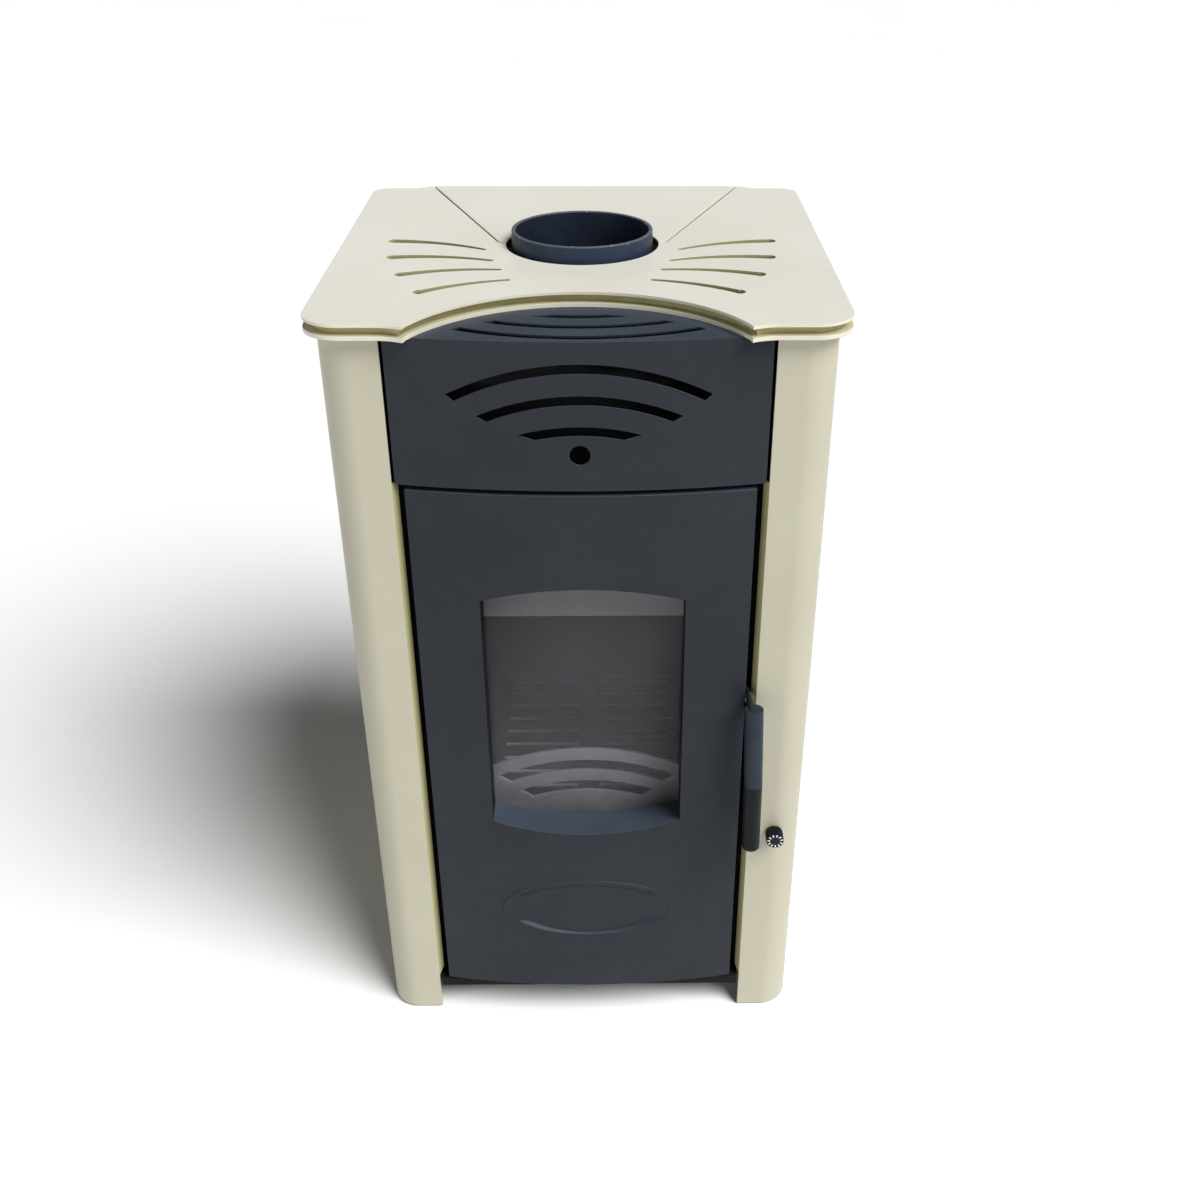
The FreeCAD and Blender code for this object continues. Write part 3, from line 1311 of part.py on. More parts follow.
def log_guard():
    body = new_body("log_guard")
    half = "guard_width / 2"
    outline = mirrored([
        ("0", "grate_height"),
        (half, "grate_height"),
        (half, f"guard_centre + sqrt(guard_radius ^ 2 - ({half}) ^ 2)", LEFT, "guard_radius"),
        ("0", "guard_top"),
    ])
    prism(body, "XZ", [outline], "guard_front", "guard_front + guard_thickness")
    slots = []
    for k in range(GUARD_SLOTS):
        outer = f"(guard_radius - guard_slot_drop - {k} * guard_slot_pitch)"
        inner = f"({outer} - guard_slot_width)"
        reach = f"((guard_slot_length - {k} * guard_slot_step) / 2)"
        short = f"({reach} - guard_slot_width)"
        slots.append([
            (minus(reach), f"guard_centre + sqrt({outer} ^ 2 - {reach} ^ 2)", RIGHT, outer),
            (reach, f"guard_centre + sqrt({outer} ^ 2 - {reach} ^ 2)"),
            (short, f"guard_centre + sqrt({inner} ^ 2 - {short} ^ 2)", LEFT, inner),
            (minus(short), f"guard_centre + sqrt({inner} ^ 2 - {short} ^ 2)"),
        ])
    opening(body, "XZ", slots, "guard_front - overrun", "guard_front + guard_thickness + overrun")


def ash_pan():
    rear = "(pan_front + pan_depth)"
    body = new_body("ash_pan")
    block = rectangle("-half_pan", "half_pan", "pan_front", rear)
    prism(body, "XY", [block], "pan_low", "pan_low + pan_height")
    inside = "(half_pan - pan_sheet)"
    hollow = rectangle(minus(inside), inside, "pan_front + pan_sheet", f"{rear} - pan_sheet")
    opening(body, "XY", [hollow], "pan_low + pan_sheet", "pan_low + pan_height + overrun")
    handle = new_body("ash_pan_handle")
    half = "(pan_handle_width / 2)"
    level = "pan_low + pan_height * 2 / 3"
    bar = mirrored([
        ("0", "pan_front - pan_handle_reach"),
        (f"{half} - pan_handle_rod", "pan_front - pan_handle_reach", LEFT, "pan_handle_rod"),
        (half, "pan_front - pan_handle_reach + pan_handle_rod"),
        (half, "pan_front"),
        (f"{half} - pan_handle_rod", "pan_front"),
        (f"{half} - pan_handle_rod", "pan_front - pan_handle_reach + pan_handle_rod"),
        ("0", "pan_front - pan_handle_reach + pan_handle_rod"),
    ])
    prism(handle, "XY", [bar], level, f"{level} + pan_handle_rod")


def flue_baffle():
    """A sloping plate over the fire, on two ledges along the firebox walls."""
    front = "(fire_rear - baffle_depth)"
    plate = [
        ("fire_rear - rest_gap", "baffle_rear_height"),
        ("fire_rear - rest_gap", "baffle_rear_height + baffle_thickness"),
        (front, "baffle_rear_height + baffle_rise + baffle_thickness"),
        (front, "baffle_rear_height + baffle_rise"),
    ]
    body = new_body("flue_baffle")
    across = "half_fire - grate_play"
    prism(body, "YZ", [plate], minus(across), across)
    bar = [
        ("fire_rear - rest_gap", "baffle_rear_height - ledge_thickness"),
        ("fire_rear - rest_gap", "baffle_rear_height"),
        (front, "baffle_rear_height + baffle_rise"),
        (front, "baffle_rear_height + baffle_rise - ledge_thickness"),
    ]
    ledges = new_body("baffle_ledges")
    prism(ledges, "YZ", [bar], "half_fire - ledge_width", "half_fire")
    prism(ledges, "YZ", [bar], "-half_fire", "ledge_width - half_fire")


def build():
    top_plate_upper()
    top_plate_lower()
    top_spacer_frame()
    seam_supports()
    top_rear_insert()
    flue()
    side_panels()
    rear_panel()
    upper_front_panel()
    door_skin()
    window_surround()
    window_glazing()
    glass_clips()
    door_inner_frame()
    door_gasket()
    hinge()
    handle_lever()
    handle_pivot_pin()
    handle_grip()
    catch()
    air_knob()
    spindle_bush()
    air_regulator()
    air_inlet()
    base_plate()
    levelling_feet()
    jacket_plates()
    firebox_plates()
    boiler_front_plate()
    water_sockets()
    grate()
    log_guard()
    ash_pan()
    flue_baffle()


def check():
    """Stop before anything is written if a feature failed or a cut took nothing away."""
    for item in doc.Objects:
        if "Invalid" in item.State or "Error" in item.State:
            raise RuntimeError(f"{item.Label} failed: {item.State}")
        if item.isDerivedFrom("PartDesign::Pocket"):
            if item.Shape.Volume >= item.BaseFeature.Shape.Volume:
                raise RuntimeError(f"{item.Label} cuts nothing")
    for body in bodies:
        if body.Shape.isNull() or not body.Shape.isValid():
            raise RuntimeError(f"{body.Label} has no valid shape")


build()
doc.recompute()
check()
os.makedirs("parts", exist_ok=True)
for body in bodies:
    body.Shape.exportStep(f"parts/{body.Label}.step")
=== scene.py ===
import json
import math

import bmesh
import bpy
from mathutils import Matrix, Vector


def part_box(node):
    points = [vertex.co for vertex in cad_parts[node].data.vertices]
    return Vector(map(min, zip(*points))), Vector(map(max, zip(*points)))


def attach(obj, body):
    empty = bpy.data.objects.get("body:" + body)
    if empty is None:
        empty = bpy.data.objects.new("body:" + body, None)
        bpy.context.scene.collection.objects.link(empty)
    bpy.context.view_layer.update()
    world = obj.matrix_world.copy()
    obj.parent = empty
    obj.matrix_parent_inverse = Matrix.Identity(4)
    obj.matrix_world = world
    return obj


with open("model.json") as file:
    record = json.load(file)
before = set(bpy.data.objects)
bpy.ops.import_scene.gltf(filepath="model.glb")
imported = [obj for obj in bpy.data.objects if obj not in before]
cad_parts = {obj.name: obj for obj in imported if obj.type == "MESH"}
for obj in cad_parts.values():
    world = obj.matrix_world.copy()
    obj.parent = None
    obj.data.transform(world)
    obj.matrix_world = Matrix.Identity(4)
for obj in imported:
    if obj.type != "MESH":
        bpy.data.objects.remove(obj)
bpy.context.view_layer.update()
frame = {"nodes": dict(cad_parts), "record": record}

NODES = frame["nodes"]
MM = 0.001

# The flue's axis and the door's bow in the part's frame, in metres
FLUE_PLACE = (0.0, 0.0195, 0.0)
BOW_RADIUS = 0.930
BOW_CROWN = -0.255

# The photograph's camera, fitted to the top plates, the front panel and the door. The angles are
# pitch, yaw and roll in degrees, and the place is in metres.
CAMERA_ANGLES = (32.57, -0.95, 0.23)
CAMERA_PLACE = (0.02866, -1.46015, 1.27108)
PHOTO_PX = 1200
FOCAL_PX = 1365.15
AXIS_PX = (630.34, 676.07)
SENSOR_MM = 36
CLIP_START = 0.05


def add_camera():
    pitch, yaw, roll = (math.radians(angle) for angle in CAMERA_ANGLES)
    turn = Matrix.Rotation(yaw, 3, "Z")
    forward = turn @ Vector((0, math.cos(pitch), -math.sin(pitch)))
    up = turn @ Vector((0, math.sin(pitch), math.cos(pitch)))
    right = turn @ Vector((1, 0, 0))
    right, up = (
        math.cos(roll) * right + math.sin(roll) * up,
        math.cos(roll) * up - math.sin(roll) * right,
    )
    data = bpy.data.cameras.new("camera")
    data.sensor_width = SENSOR_MM
    data.lens = FOCAL_PX * SENSOR_MM / PHOTO_PX
    data.shift_x = (PHOTO_PX / 2 - AXIS_PX[0]) / PHOTO_PX
    data.shift_y = (AXIS_PX[1] - PHOTO_PX / 2) / PHOTO_PX
    data.clip_start = CLIP_START
    camera = bpy.data.objects.new("camera", data)
    matrix = Matrix((right, up, -forward)).transposed().to_4x4()
    matrix.translation = Vector(CAMERA_PLACE)
    camera.matrix_world = matrix
    bpy.context.scene.collection.objects.link(camera)
    bpy.context.scene.camera = camera


# Where one finish gives way to another: start and end of the change, in metres
WHISKERS_INNER = (0.064, 0.067)
WHISKERS_OUTER = (0.212, 0.215)
WHISKERS_FRONT = (-0.1635, -0.161)
FOLD_EDGE = (0.1843, 0.1848)
FOLD_TOP = (0.7115, 0.7125)
COLLAR_BORE = (0.0714, 0.0718)
COLLAR_CHIPS = (0.8885, 0.8895)
COLLAR_RIM = (0.8895, 0.8905)
GASKET_TOP = (0.690, 0.715)
GASKET_SIDE = (0.160, 0.165)
GRIP_MIDDLE = (0.3755, 0.3765)

# The same for the way a surface faces along an axis, from -1 to 1
EDGE_FACING = (0.35, 0.75)
PLATE_FACING = (0.80, 0.95)
TOP_LIGHT_FACING = (0.55, 0.9)
SILL_FACING = (0.10, 0.35)
SLOT_FACING = (0.45, 0.75)

# Shades: the two that a finish drifts between, or the one laid over it
CREAM = ((0.665, 0.634, 0.512), (0.715, 0.687, 0.565))
CREAM_SPECK = (0.46, 0.43, 0.32)
# Painted shade on the walls of the whisker slots
WHISKER_WALL_SHADE = (0.33, 0.30, 0.155)
# A lighter, bluer copy of the cream for the top plates: painted light from above
PLATE_LIT_TONE = (1.07, 1.075, 1.15)
# Painted shade on the upright edges of the top plates
PLATE_EDGE_SHADE = (0.60, 0.565, 0.45)
# Painted shade, darker and yellower: the lower plate's upper face in the gap between the plates,
# and the whole spacer
PLATE_GAP_SHADE = (0.48, 0.445, 0.29)
SPACER_SHADE = (0.38, 0.345, 0.135)
# A darker copy of the cream for the side panels: painted shade
PANEL_SHADED_TONE = (0.60, 0.592, 0.552)
# Painted shade on the fold beside the door
FOLD_SHADE = (0.40, 0.365, 0.19)
ANTHRACITE = ((0.0122, 0.0150, 0.0198), (0.0182, 0.0219, 0.0280))
ANTHRACITE_TOP_LIGHT = (0.040, 0.052, 0.070)
COLLAR_BLUE = ((0.011, 0.020, 0.039), (0.019, 0.031, 0.057))
COLLAR_BORE_SHADE = (0.0085, 0.0135, 0.026)
COLLAR_RIM_HIGHLIGHT = (0.085, 0.095, 0.115)
BARE_STEEL = (0.62, 0.63, 0.64)
BOILER_BLACK = ((0.010, 0.010, 0.011), (0.020, 0.020, 0.021))
FIREBOX_SOOT = ((0.017, 0.017, 0.0185), (0.026, 0.026, 0.028))
BASE_BLACK = ((0.003, 0.003, 0.0032), (0.005, 0.005, 0.0052))
LEVER_BLACK = ((0.007, 0.009, 0.012), (0.012, 0.015, 0.019))
FRONT_GREY = ((0.24, 0.24, 0.248), (0.295, 0.295, 0.304))
FRONT_BLACK = (0.006, 0.006, 0.006)
REVEAL_SIDE_SHADE = ((0.004, 0.004, 0.005), (0.007, 0.007, 0.008))
REVEAL_SILL_LIGHT = ((0.038, 0.048, 0.066), (0.050, 0.063, 0.084))
GRATE_BURNT = ((0.055, 0.055, 0.056), (0.095, 0.095, 0.097))
GRATE_WALL_HIGHLIGHT = ((0.80, 0.80, 0.80), (0.95, 0.95, 0.95))
CASING = ((0.20, 0.19, 0.145), (0.27, 0.255, 0.20))
CAST_IRON = ((0.085, 0.085, 0.088), (0.16, 0.16, 0.165))
GUARD_IRON = ((0.245, 0.245, 0.267), (0.36, 0.36, 0.392))
GRIP_LIT_UPPER = ((0.016, 0.024, 0.034), (0.023, 0.034, 0.046))
GRIP_SHADED_LOWER = ((0.0035, 0.0045, 0.006), (0.0055, 0.007, 0.009))
ROPE = ((0.20, 0.19, 0.16), (0.52, 0.50, 0.44))
GLASS_VEIL = ((0.098, 0.099, 0.107), (0.120, 0.121, 0.131))
WHITE_PRINT = ((0.62, 0.62, 0.60), (0.78, 0.78, 0.76))
FLOOR_WHITE = ((0.90, 0.895, 0.88), (0.92, 0.915, 0.90))

# The mix node's sockets for colours, by index because it has the same names for other kinds
MIX_FACTOR, MIX_FIRST, MIX_SECOND, MIX_RESULT = 0, 6, 7, 2


class Finish:
    """A material's node tree, with short names for the nodes used here."""

    def __init__(self, name):
        self.material = bpy.data.materials.new(name)
        self.material.use_nodes = True
        self.tree = self.material.node_tree
        self.shader = self.tree.nodes["Principled BSDF"]
        self.coords = self.tree.nodes.new("ShaderNodeTexCoord").outputs["Object"]

    def feed(self, socket, value):
        """Link a node's output to the socket, or set a plain value on it."""
        if isinstance(value, bpy.types.NodeSocket):
            self.tree.links.new(value, socket)
        elif socket.type == "RGBA":
            socket.default_value = (*value, 1)
        else:
            socket.default_value = value

    def add(self, kind, inputs=None, **settings):
        node = self.tree.nodes.new(kind)
        for key, value in settings.items():
            setattr(node, key, value)
        for key, value in (inputs or {}).items():
            self.feed(node.inputs[key], value)
        return node

    def noise(self, scale, detail=2.0, rough=0.5, vector=None):
        """Cloudy noise, mostly between 0.3 and 0.7. Scale is about the clouds in a metre."""
        inputs = {
            "Vector": vector or self.coords,
            "Scale": scale,
            "Detail": detail,
            "Roughness": rough,
        }
        return self.add("ShaderNodeTexNoise", inputs).outputs["Fac"]

    def ramp(self, fac, shades, start=0.3, end=0.7):
        """The first shade up to start, the second from end on."""
        node = self.add("ShaderNodeValToRGB", {"Fac": fac})
        for element, place, shade in zip(node.color_ramp.elements, (start, end), shades):
            element.position = place
            element.color = (*shade, 1)
        return node.outputs["Color"]

    def spread(self, fac, low, high, start=0.3, end=0.7):
        """The value low up to start, high from end on."""
        inputs = {"Value": fac, "From Min": start, "From Max": end, "To Min": low, "To Max": high}
        return self.add("ShaderNodeMapRange", inputs).outputs["Result"]

    def past(self, value, limits):
        """From 0 to 1 between the limits."""
        return self.spread(value, 0.0, 1.0, *limits)

    def before(self, value, limits):
        """From 1 to 0 between the limits."""
        return self.spread(value, 1.0, 0.0, *limits)

    def calc(self, operation, first, second=0.0):
        return self.add("ShaderNodeMath", {0: first, 1: second}, operation=operation).outputs[0]

    def vector_calc(self, operation, inputs, output=0):
        node = self.add("ShaderNodeVectorMath", inputs, operation=operation)
        return node.outputs[output]

    def mix(self, fac, first, second):
        """The first colour where fac is 0, the second where it is 1."""
        inputs = {MIX_FACTOR: fac, MIX_FIRST: first, MIX_SECOND: second}
        return self.add("ShaderNodeMix", inputs, data_type="RGBA").outputs[MIX_RESULT]

    def axis(self, letter):
        return self.add("ShaderNodeSeparateXYZ", {"Vector": self.coords}).outputs[letter]

    def off_middle(self):
        """The distance to the left or right of the part's middle."""
        return self.calc("ABSOLUTE", self.axis("X"))

    def facing(self, letter):
        """The surface's direction along one axis, from -1 to 1."""
        normal = self.add("ShaderNodeNewGeometry").outputs["Normal"]
        return self.add("ShaderNodeSeparateXYZ", {"Vector": normal}).outputs[letter]

    def bump(self, *layers):
        """Stack bumps, each a height from 0 to 1, its depth in millimetres and a strength."""
        normal = None
        for height, depth, strength in layers:
            inputs = {"Height": height, "Distance": depth * MM, "Strength": strength}
            if normal is not None:
                inputs["Normal"] = normal
            normal = self.add("ShaderNodeBump", inputs).outputs["Normal"]
        self.feed(self.shader.inputs["Normal"], normal)

    def drive(self, **sockets):
        """Set or link the shader's own sockets, with underscores for the blanks in their names."""
        for key, value in sockets.items():
            self.feed(self.shader.inputs[key.replace("_", " ")], value)


def tinted(colour, tone):
    return tuple(t * c for t, c in zip(tone, colour))


def scaled(colour, factor):
    return tuple(factor * c for c in colour)


# Paint and enamel

def cream_enamel(name="cream_enamel", tone=(1, 1, 1), edge=None, inside=None, thin=None):
    """Satin powder coat: faint clouds of tone and a fine orange peel.

    Tone scales the coat's colour: the lighter, bluer tone of the top plates is painted light from
    above, and the darker tone of the side panels is painted shade. Edge is the colour of upright
    edges, a painted shade, and the walls of the whisker slots are darker still. Inside gives a
    value from 0 to 1 for places that get painted shade, a darker and yellower colour, the one that
    comes last.
    """
    n = Finish(name)
    colour = n.ramp(n.noise(5.0, 4.0, 0.6), [tinted(shade, tone) for shade in CREAM])
    specks = n.spread(n.noise(900.0, 1.0), 0.0, 0.10, 0.62, 0.75)
    colour = n.mix(specks, colour, CREAM_SPECK)
    if edge is not None:
        # Painted shade: upright faces darker, the whisker slots' walls darker still
        upright = n.before(n.calc("ABSOLUTE", n.facing("Z")), EDGE_FACING)
        colour = n.mix(upright, colour, edge)
        whisker_walls = n.calc("MULTIPLY", upright, whisker_field(n))
        colour = n.mix(whisker_walls, colour, WHISKER_WALL_SHADE)
    # Painted shade, darker and yellower, where inside is above 0
    if inside is not None:
        colour = n.mix(inside(n), colour, thin)
    rough = n.spread(n.noise(38.0, 3.0), 0.36, 0.47)
    n.bump((n.noise(420.0), 0.4, 0.10), (n.noise(3.5), 3.0, 0.04))
    n.drive(Base_Color=colour, Roughness=rough, Specular_IOR_Level=0.45)
    n.drive(Coat_Weight=0.08, Coat_Roughness=0.3)
    return n.material


def whisker_field(n):
    """The two fields of the top plates that the whisker slots are cut in."""
    across = n.off_middle()
    inner, outer = n.past(across, WHISKERS_INNER), n.before(across, WHISKERS_OUTER)
    beside = n.calc("MULTIPLY", inner, outer)
    return n.calc("MULTIPLY", beside, n.past(n.axis("Y"), WHISKERS_FRONT))


def between_plates(n):
    """The upper face of the lower plate, which is given painted shade."""
    return n.past(n.facing("Z"), PLATE_FACING)


# The whole surface, for the spacer's painted shade
def everywhere(n):
    return n.spread(n.noise(60.0), 0.85, 1.0)


def leaning_fold(n):
    """The narrow fold beside the door, which leans between front and side, and is given painted
    shade.
    """
    narrow = n.before(n.off_middle(), FOLD_EDGE)
    return n.calc("MULTIPLY", narrow, n.before(n.axis("Z"), FOLD_TOP))


def anthracite_paint():
    """Fine-textured matt stove paint with a blue cast, lighter and bluer on what faces up: painted
    light from above.
    """
    n = Finish("anthracite_paint")
    colour = n.ramp(n.noise(7.0, 5.0, 0.65), ANTHRACITE, 0.28, 0.72)
    grain = n.noise(1500.0, 1.0)
    flecks = n.spread(grain, 0.0, 0.30, 0.60, 0.78)
    colour = n.mix(flecks, colour, scaled(ANTHRACITE[1], 2.4))
    # Painted light from above on upward faces
    colour = n.mix(n.past(n.facing("Z"), TOP_LIGHT_FACING), colour, ANTHRACITE_TOP_LIGHT)
    rough = n.spread(n.noise(60.0, 4.0), 0.44, 0.58)
    n.bump((grain, 0.3, 0.22), (n.noise(260.0), 0.5, 0.10))
    n.drive(Base_Color=colour, Roughness=rough, Specular_IOR_Level=0.22)
    return n.material


def collar_paint():
    """Blue-black heat-proof paint: darker in the bore as painted shade, lighter along the rim's top
    as a painted highlight, and chipped there to steel.
    """
    n = Finish("collar_paint")
    colour = n.ramp(n.noise(18.0, 4.0, 0.6), COLLAR_BLUE)
    off_axis = n.vector_calc("SUBTRACT", {0: n.coords, 1: FLUE_PLACE})
    level = n.vector_calc("MULTIPLY", {0: off_axis, 1: (1, 1, 0)})
    radius = n.vector_calc("LENGTH", {0: level}, "Value")
    # Painted shade in the bore
    colour = n.mix(n.before(radius, COLLAR_BORE), colour, COLLAR_BORE_SHADE)
    height = n.axis("Z")
    # Painted highlight along the rim's top
    colour = n.mix(n.past(height, COLLAR_RIM), colour, COLLAR_RIM_HIGHLIGHT)
    chips = n.past(n.noise(150.0, 3.0, 0.7), (0.64, 0.66))
    bare = n.calc("MULTIPLY", n.past(height, COLLAR_CHIPS), chips)
    colour = n.mix(bare, colour, BARE_STEEL)
    rough = n.spread(n.noise(70.0, 3.0), 0.42, 0.58)
    n.bump((n.noise(700.0), 0.4, 0.2), (n.noise(90.0, 3.0), 1.0, 0.12))
    n.drive(Base_Color=colour, Roughness=rough, Specular_IOR_Level=0.25)
    n.drive(Metallic=n.calc("MULTIPLY", bare, 0.9))
    return n.material


def boiler_paint(name, shades):
    """Matt heat-proof paint under a film of soot."""
    n = Finish(name)
    colour = n.ramp(n.noise(9.0, 5.0, 0.65), shades, 0.25, 0.75)
    rough = n.spread(n.noise(45.0, 3.0), 0.60, 0.75)
    n.bump((n.noise(500.0), 0.3, 0.10), (n.noise(30.0, 3.0), 2.0, 0.05))
    n.drive(Base_Color=colour, Roughness=rough, Specular_IOR_Level=0.18)
    return n.material


def front_plate_paint():
    """Burnt grey round the fire mouth, black outside the door's gasket."""
    n = Finish("front_plate_paint")
    colour = n.ramp(n.noise(7.0, 4.0), FRONT_GREY)
    above = n.past(n.axis("Z"), GASKET_TOP)
    beside = n.past(n.off_middle(), GASKET_SIDE)
    colour = n.mix(n.calc("MAXIMUM", above, beside), colour, FRONT_BLACK)
    rough = n.spread(n.noise(45.0, 3.0), 0.60, 0.75)
    n.drive(Base_Color=colour, Roughness=rough, Specular_IOR_Level=0.18)
    return n.material


def reveal_paint():
    """The door's paint inside the window reveal: near-black sides as painted shade, and a lighter,
    bluer sloping sill as painted light from above.
    """
    n = Finish("reveal_paint")
    sides = n.ramp(n.noise(30.0, 3.0), REVEAL_SIDE_SHADE)
    sill = n.ramp(n.noise(12.0, 5.0, 0.65), REVEAL_SILL_LIGHT)
    # Painted shade on the sides, painted light on the sill
    colour = n.mix(n.past(n.facing("Z"), SILL_FACING), sides, sill)
    rough = n.spread(n.noise(60.0, 4.0), 0.5, 0.62)
    n.bump((n.noise(1500.0, 1.0), 0.3, 0.15))
    n.drive(Base_Color=colour, Roughness=rough, Specular_IOR_Level=0.2)
    return n.material


def casing_paint():
    n = Finish("casing_paint")
    colour = n.ramp(n.noise(8.0, 4.0), CASING)
    n.bump((n.noise(420.0), 0.4, 0.15), (n.noise(4.0), 4.0, 0.05))
    n.drive(Base_Color=colour, Roughness=n.spread(n.noise(40.0, 3.0), 0.42, 0.55))
    return n.material


def grip_paint():
    """Dark blue-grey paint, lighter and bluer on the upper half as painted light, and blacker on
    the lower half as painted shade.
    """
    n = Finish("grip_paint")
    upper = n.ramp(n.noise(22.0, 4.0), GRIP_LIT_UPPER)
    lower = n.ramp(n.noise(22.0, 4.0), GRIP_SHADED_LOWER)
    # Painted shade below the middle, painted light above it
    colour = n.mix(n.before(n.axis("Z"), GRIP_MIDDLE), upper, lower)
    rough = n.spread(n.noise(55.0, 3.0), 0.44, 0.54)
    n.bump((n.noise(900.0), 0.3, 0.16))
    n.drive(Base_Color=colour, Roughness=rough, Specular_IOR_Level=0.14)
    return n.material


# Bare metal

def grate_iron():
    """Burnt cast iron, near-white on the walls of the slots that face the door: a painted
    highlight.
    """
    n = Finish("grate_iron")
    burnt = n.ramp(n.noise(40.0, 6.0, 0.7), GRATE_BURNT)
    bright = n.ramp(n.noise(60.0, 4.0), GRATE_WALL_HIGHLIGHT)
    # Painted highlight on the slot walls that face the door
    walls = n.past(n.calc("MULTIPLY", n.facing("Y"), -1.0), SLOT_FACING)
    rough = n.spread(n.noise(80.0, 3.0), 0.55, 0.75)
    n.bump((n.noise(260.0, 4.0, 0.7), 0.6, 0.15))
    n.drive(Base_Color=n.mix(walls, burnt, bright), Roughness=rough)
    return n.material


def cast_iron(name, shades):
    """The pitted skin of a sand casting."""
    n = Finish(name)
    colour = n.ramp(n.noise(40.0, 6.0, 0.7), shades)
    pits = n.add("ShaderNodeTexVoronoi", {"Vector": n.coords, "Scale": 320.0}).outputs["Distance"]
    rough = n.spread(n.noise(80.0, 3.0), 0.55, 0.78)
    n.bump((n.noise(260.0, 4.0, 0.7), 1.0, 0.35), (pits, 0.6, 0.25))
    n.drive(Base_Color=colour, Roughness=rough, Metallic=0.25)
    return n.material


def steel(name, tint, smooth, rough, stretch=(1, 1, 40), metallic=0.95):
    """Plated or rolled steel with fine lines across the axis of the stretch."""
    n = Finish(name)
    lined = n.add("ShaderNodeMapping", {"Vector": n.coords, "Scale": stretch}).outputs["Vector"]
    lines = n.noise(60.0, 4.0, 0.6, lined)
    colour = n.ramp(n.noise(25.0, 4.0), (scaled(tint, 0.78), tint), 0.25, 0.75)
    n.bump((lines, 0.2, 0.18))
    n.drive(Base_Color=colour, Roughness=n.spread(lines, smooth, rough), Metallic=metallic)
    return n.material


# Plastic, rope, glass, print and the floor

def moulded_plastic(name, tone):
    n = Finish(name)
    colour = n.ramp(n.noise(120.0, 3.0), (scaled(tone, 0.8), tone))
    rough = n.spread(n.noise(90.0), 0.38, 0.52)
    n.bump((n.noise(1800.0, 1.0), 0.2, 0.25))
    n.drive(Base_Color=colour, Roughness=rough, Specular_IOR_Level=0.2)
    return n.material


def rope_fibre():
    """Knitted glass-fibre rope: crossing strands."""
    n = Finish("rope_fibre")
    strands = []
    for lean in (0.7, -0.7):
        turn = {"Vector": n.coords, "Rotation": (lean, lean, lean)}
        turned = n.add("ShaderNodeMapping", turn).outputs["Vector"]
        wave = {"Vector": turned, "Scale": 180.0, "Distortion": 1.2, "Detail": 2.0}
        strands.append(n.add("ShaderNodeTexWave", wave).outputs["Fac"])
    knit = n.calc("MAXIMUM", *strands)
    colour = n.ramp(knit, ROPE, 0.2, 0.8)
    n.bump((knit, 1.2, 0.8), (n.noise(1400.0), 0.3, 0.4))
    n.drive(Base_Color=colour, Roughness=n.spread(n.noise(200.0), 0.82, 0.95))
    return n.material


def stove_glass():
    """Clear ceramic glass with a faint and cloudy grey veil."""
    n = Finish("stove_glass")
    colour = n.ramp(n.noise(9.0, 4.0, 0.55), GLASS_VEIL)
    rough = n.spread(n.noise(40.0), 0.05, 0.10)
    n.drive(Base_Color=colour, Roughness=rough, IOR=1.5)
    n.drive(Alpha=n.spread(n.noise(6.0, 3.0), 0.20, 0.24))
    n.material.blend_method = "BLEND"
    return n.material


def white_print():
    n = Finish("white_print")
    colour = n.ramp(n.noise(800.0), WHITE_PRINT)
    n.drive(Base_Color=colour, Roughness=n.spread(n.noise(300.0), 0.45, 0.6))
    return n.material


def floor_white():
    n = Finish("floor_white")
    colour = n.ramp(n.noise(0.8, 3.0), FLOOR_WHITE)
    rough = n.spread(n.noise(3.0), 0.8, 0.9)
    n.drive(Base_Color=colour, Roughness=rough, Specular_IOR_Level=0.2)
    return n.material


# The record's material slots
MATERIALS = {
    "cream_enamel": cream_enamel(),
    "anthracite_paint": anthracite_paint(),
    "boiler_paint": boiler_paint("boiler_paint", BOILER_BLACK),
    "casing_paint": casing_paint(),
    "cast_iron": cast_iron("cast_iron", CAST_IRON),
    "zinc_steel": steel("zinc_steel", (0.62, 0.62, 0.60), 0.24, 0.38),
    "socket_steel": steel("socket_steel", (0.30, 0.29, 0.28), 0.35, 0.5, (1, 30, 1)),
    "brass": steel("brass", (0.66, 0.48, 0.22), 0.24, 0.36),
    "grip_paint": grip_paint(),
    "knob_plastic": moulded_plastic("knob_plastic", (0.007, 0.009, 0.012)),
    "regulator_plastic": moulded_plastic("regulator_plastic", (0.022, 0.022, 0.024)),
    "sheet_steel": steel("sheet_steel", (0.36, 0.36, 0.37), 0.34, 0.5, (30, 1, 1)),
    "rope_fibre": rope_fibre(),
    "stove_glass": stove_glass(),
}

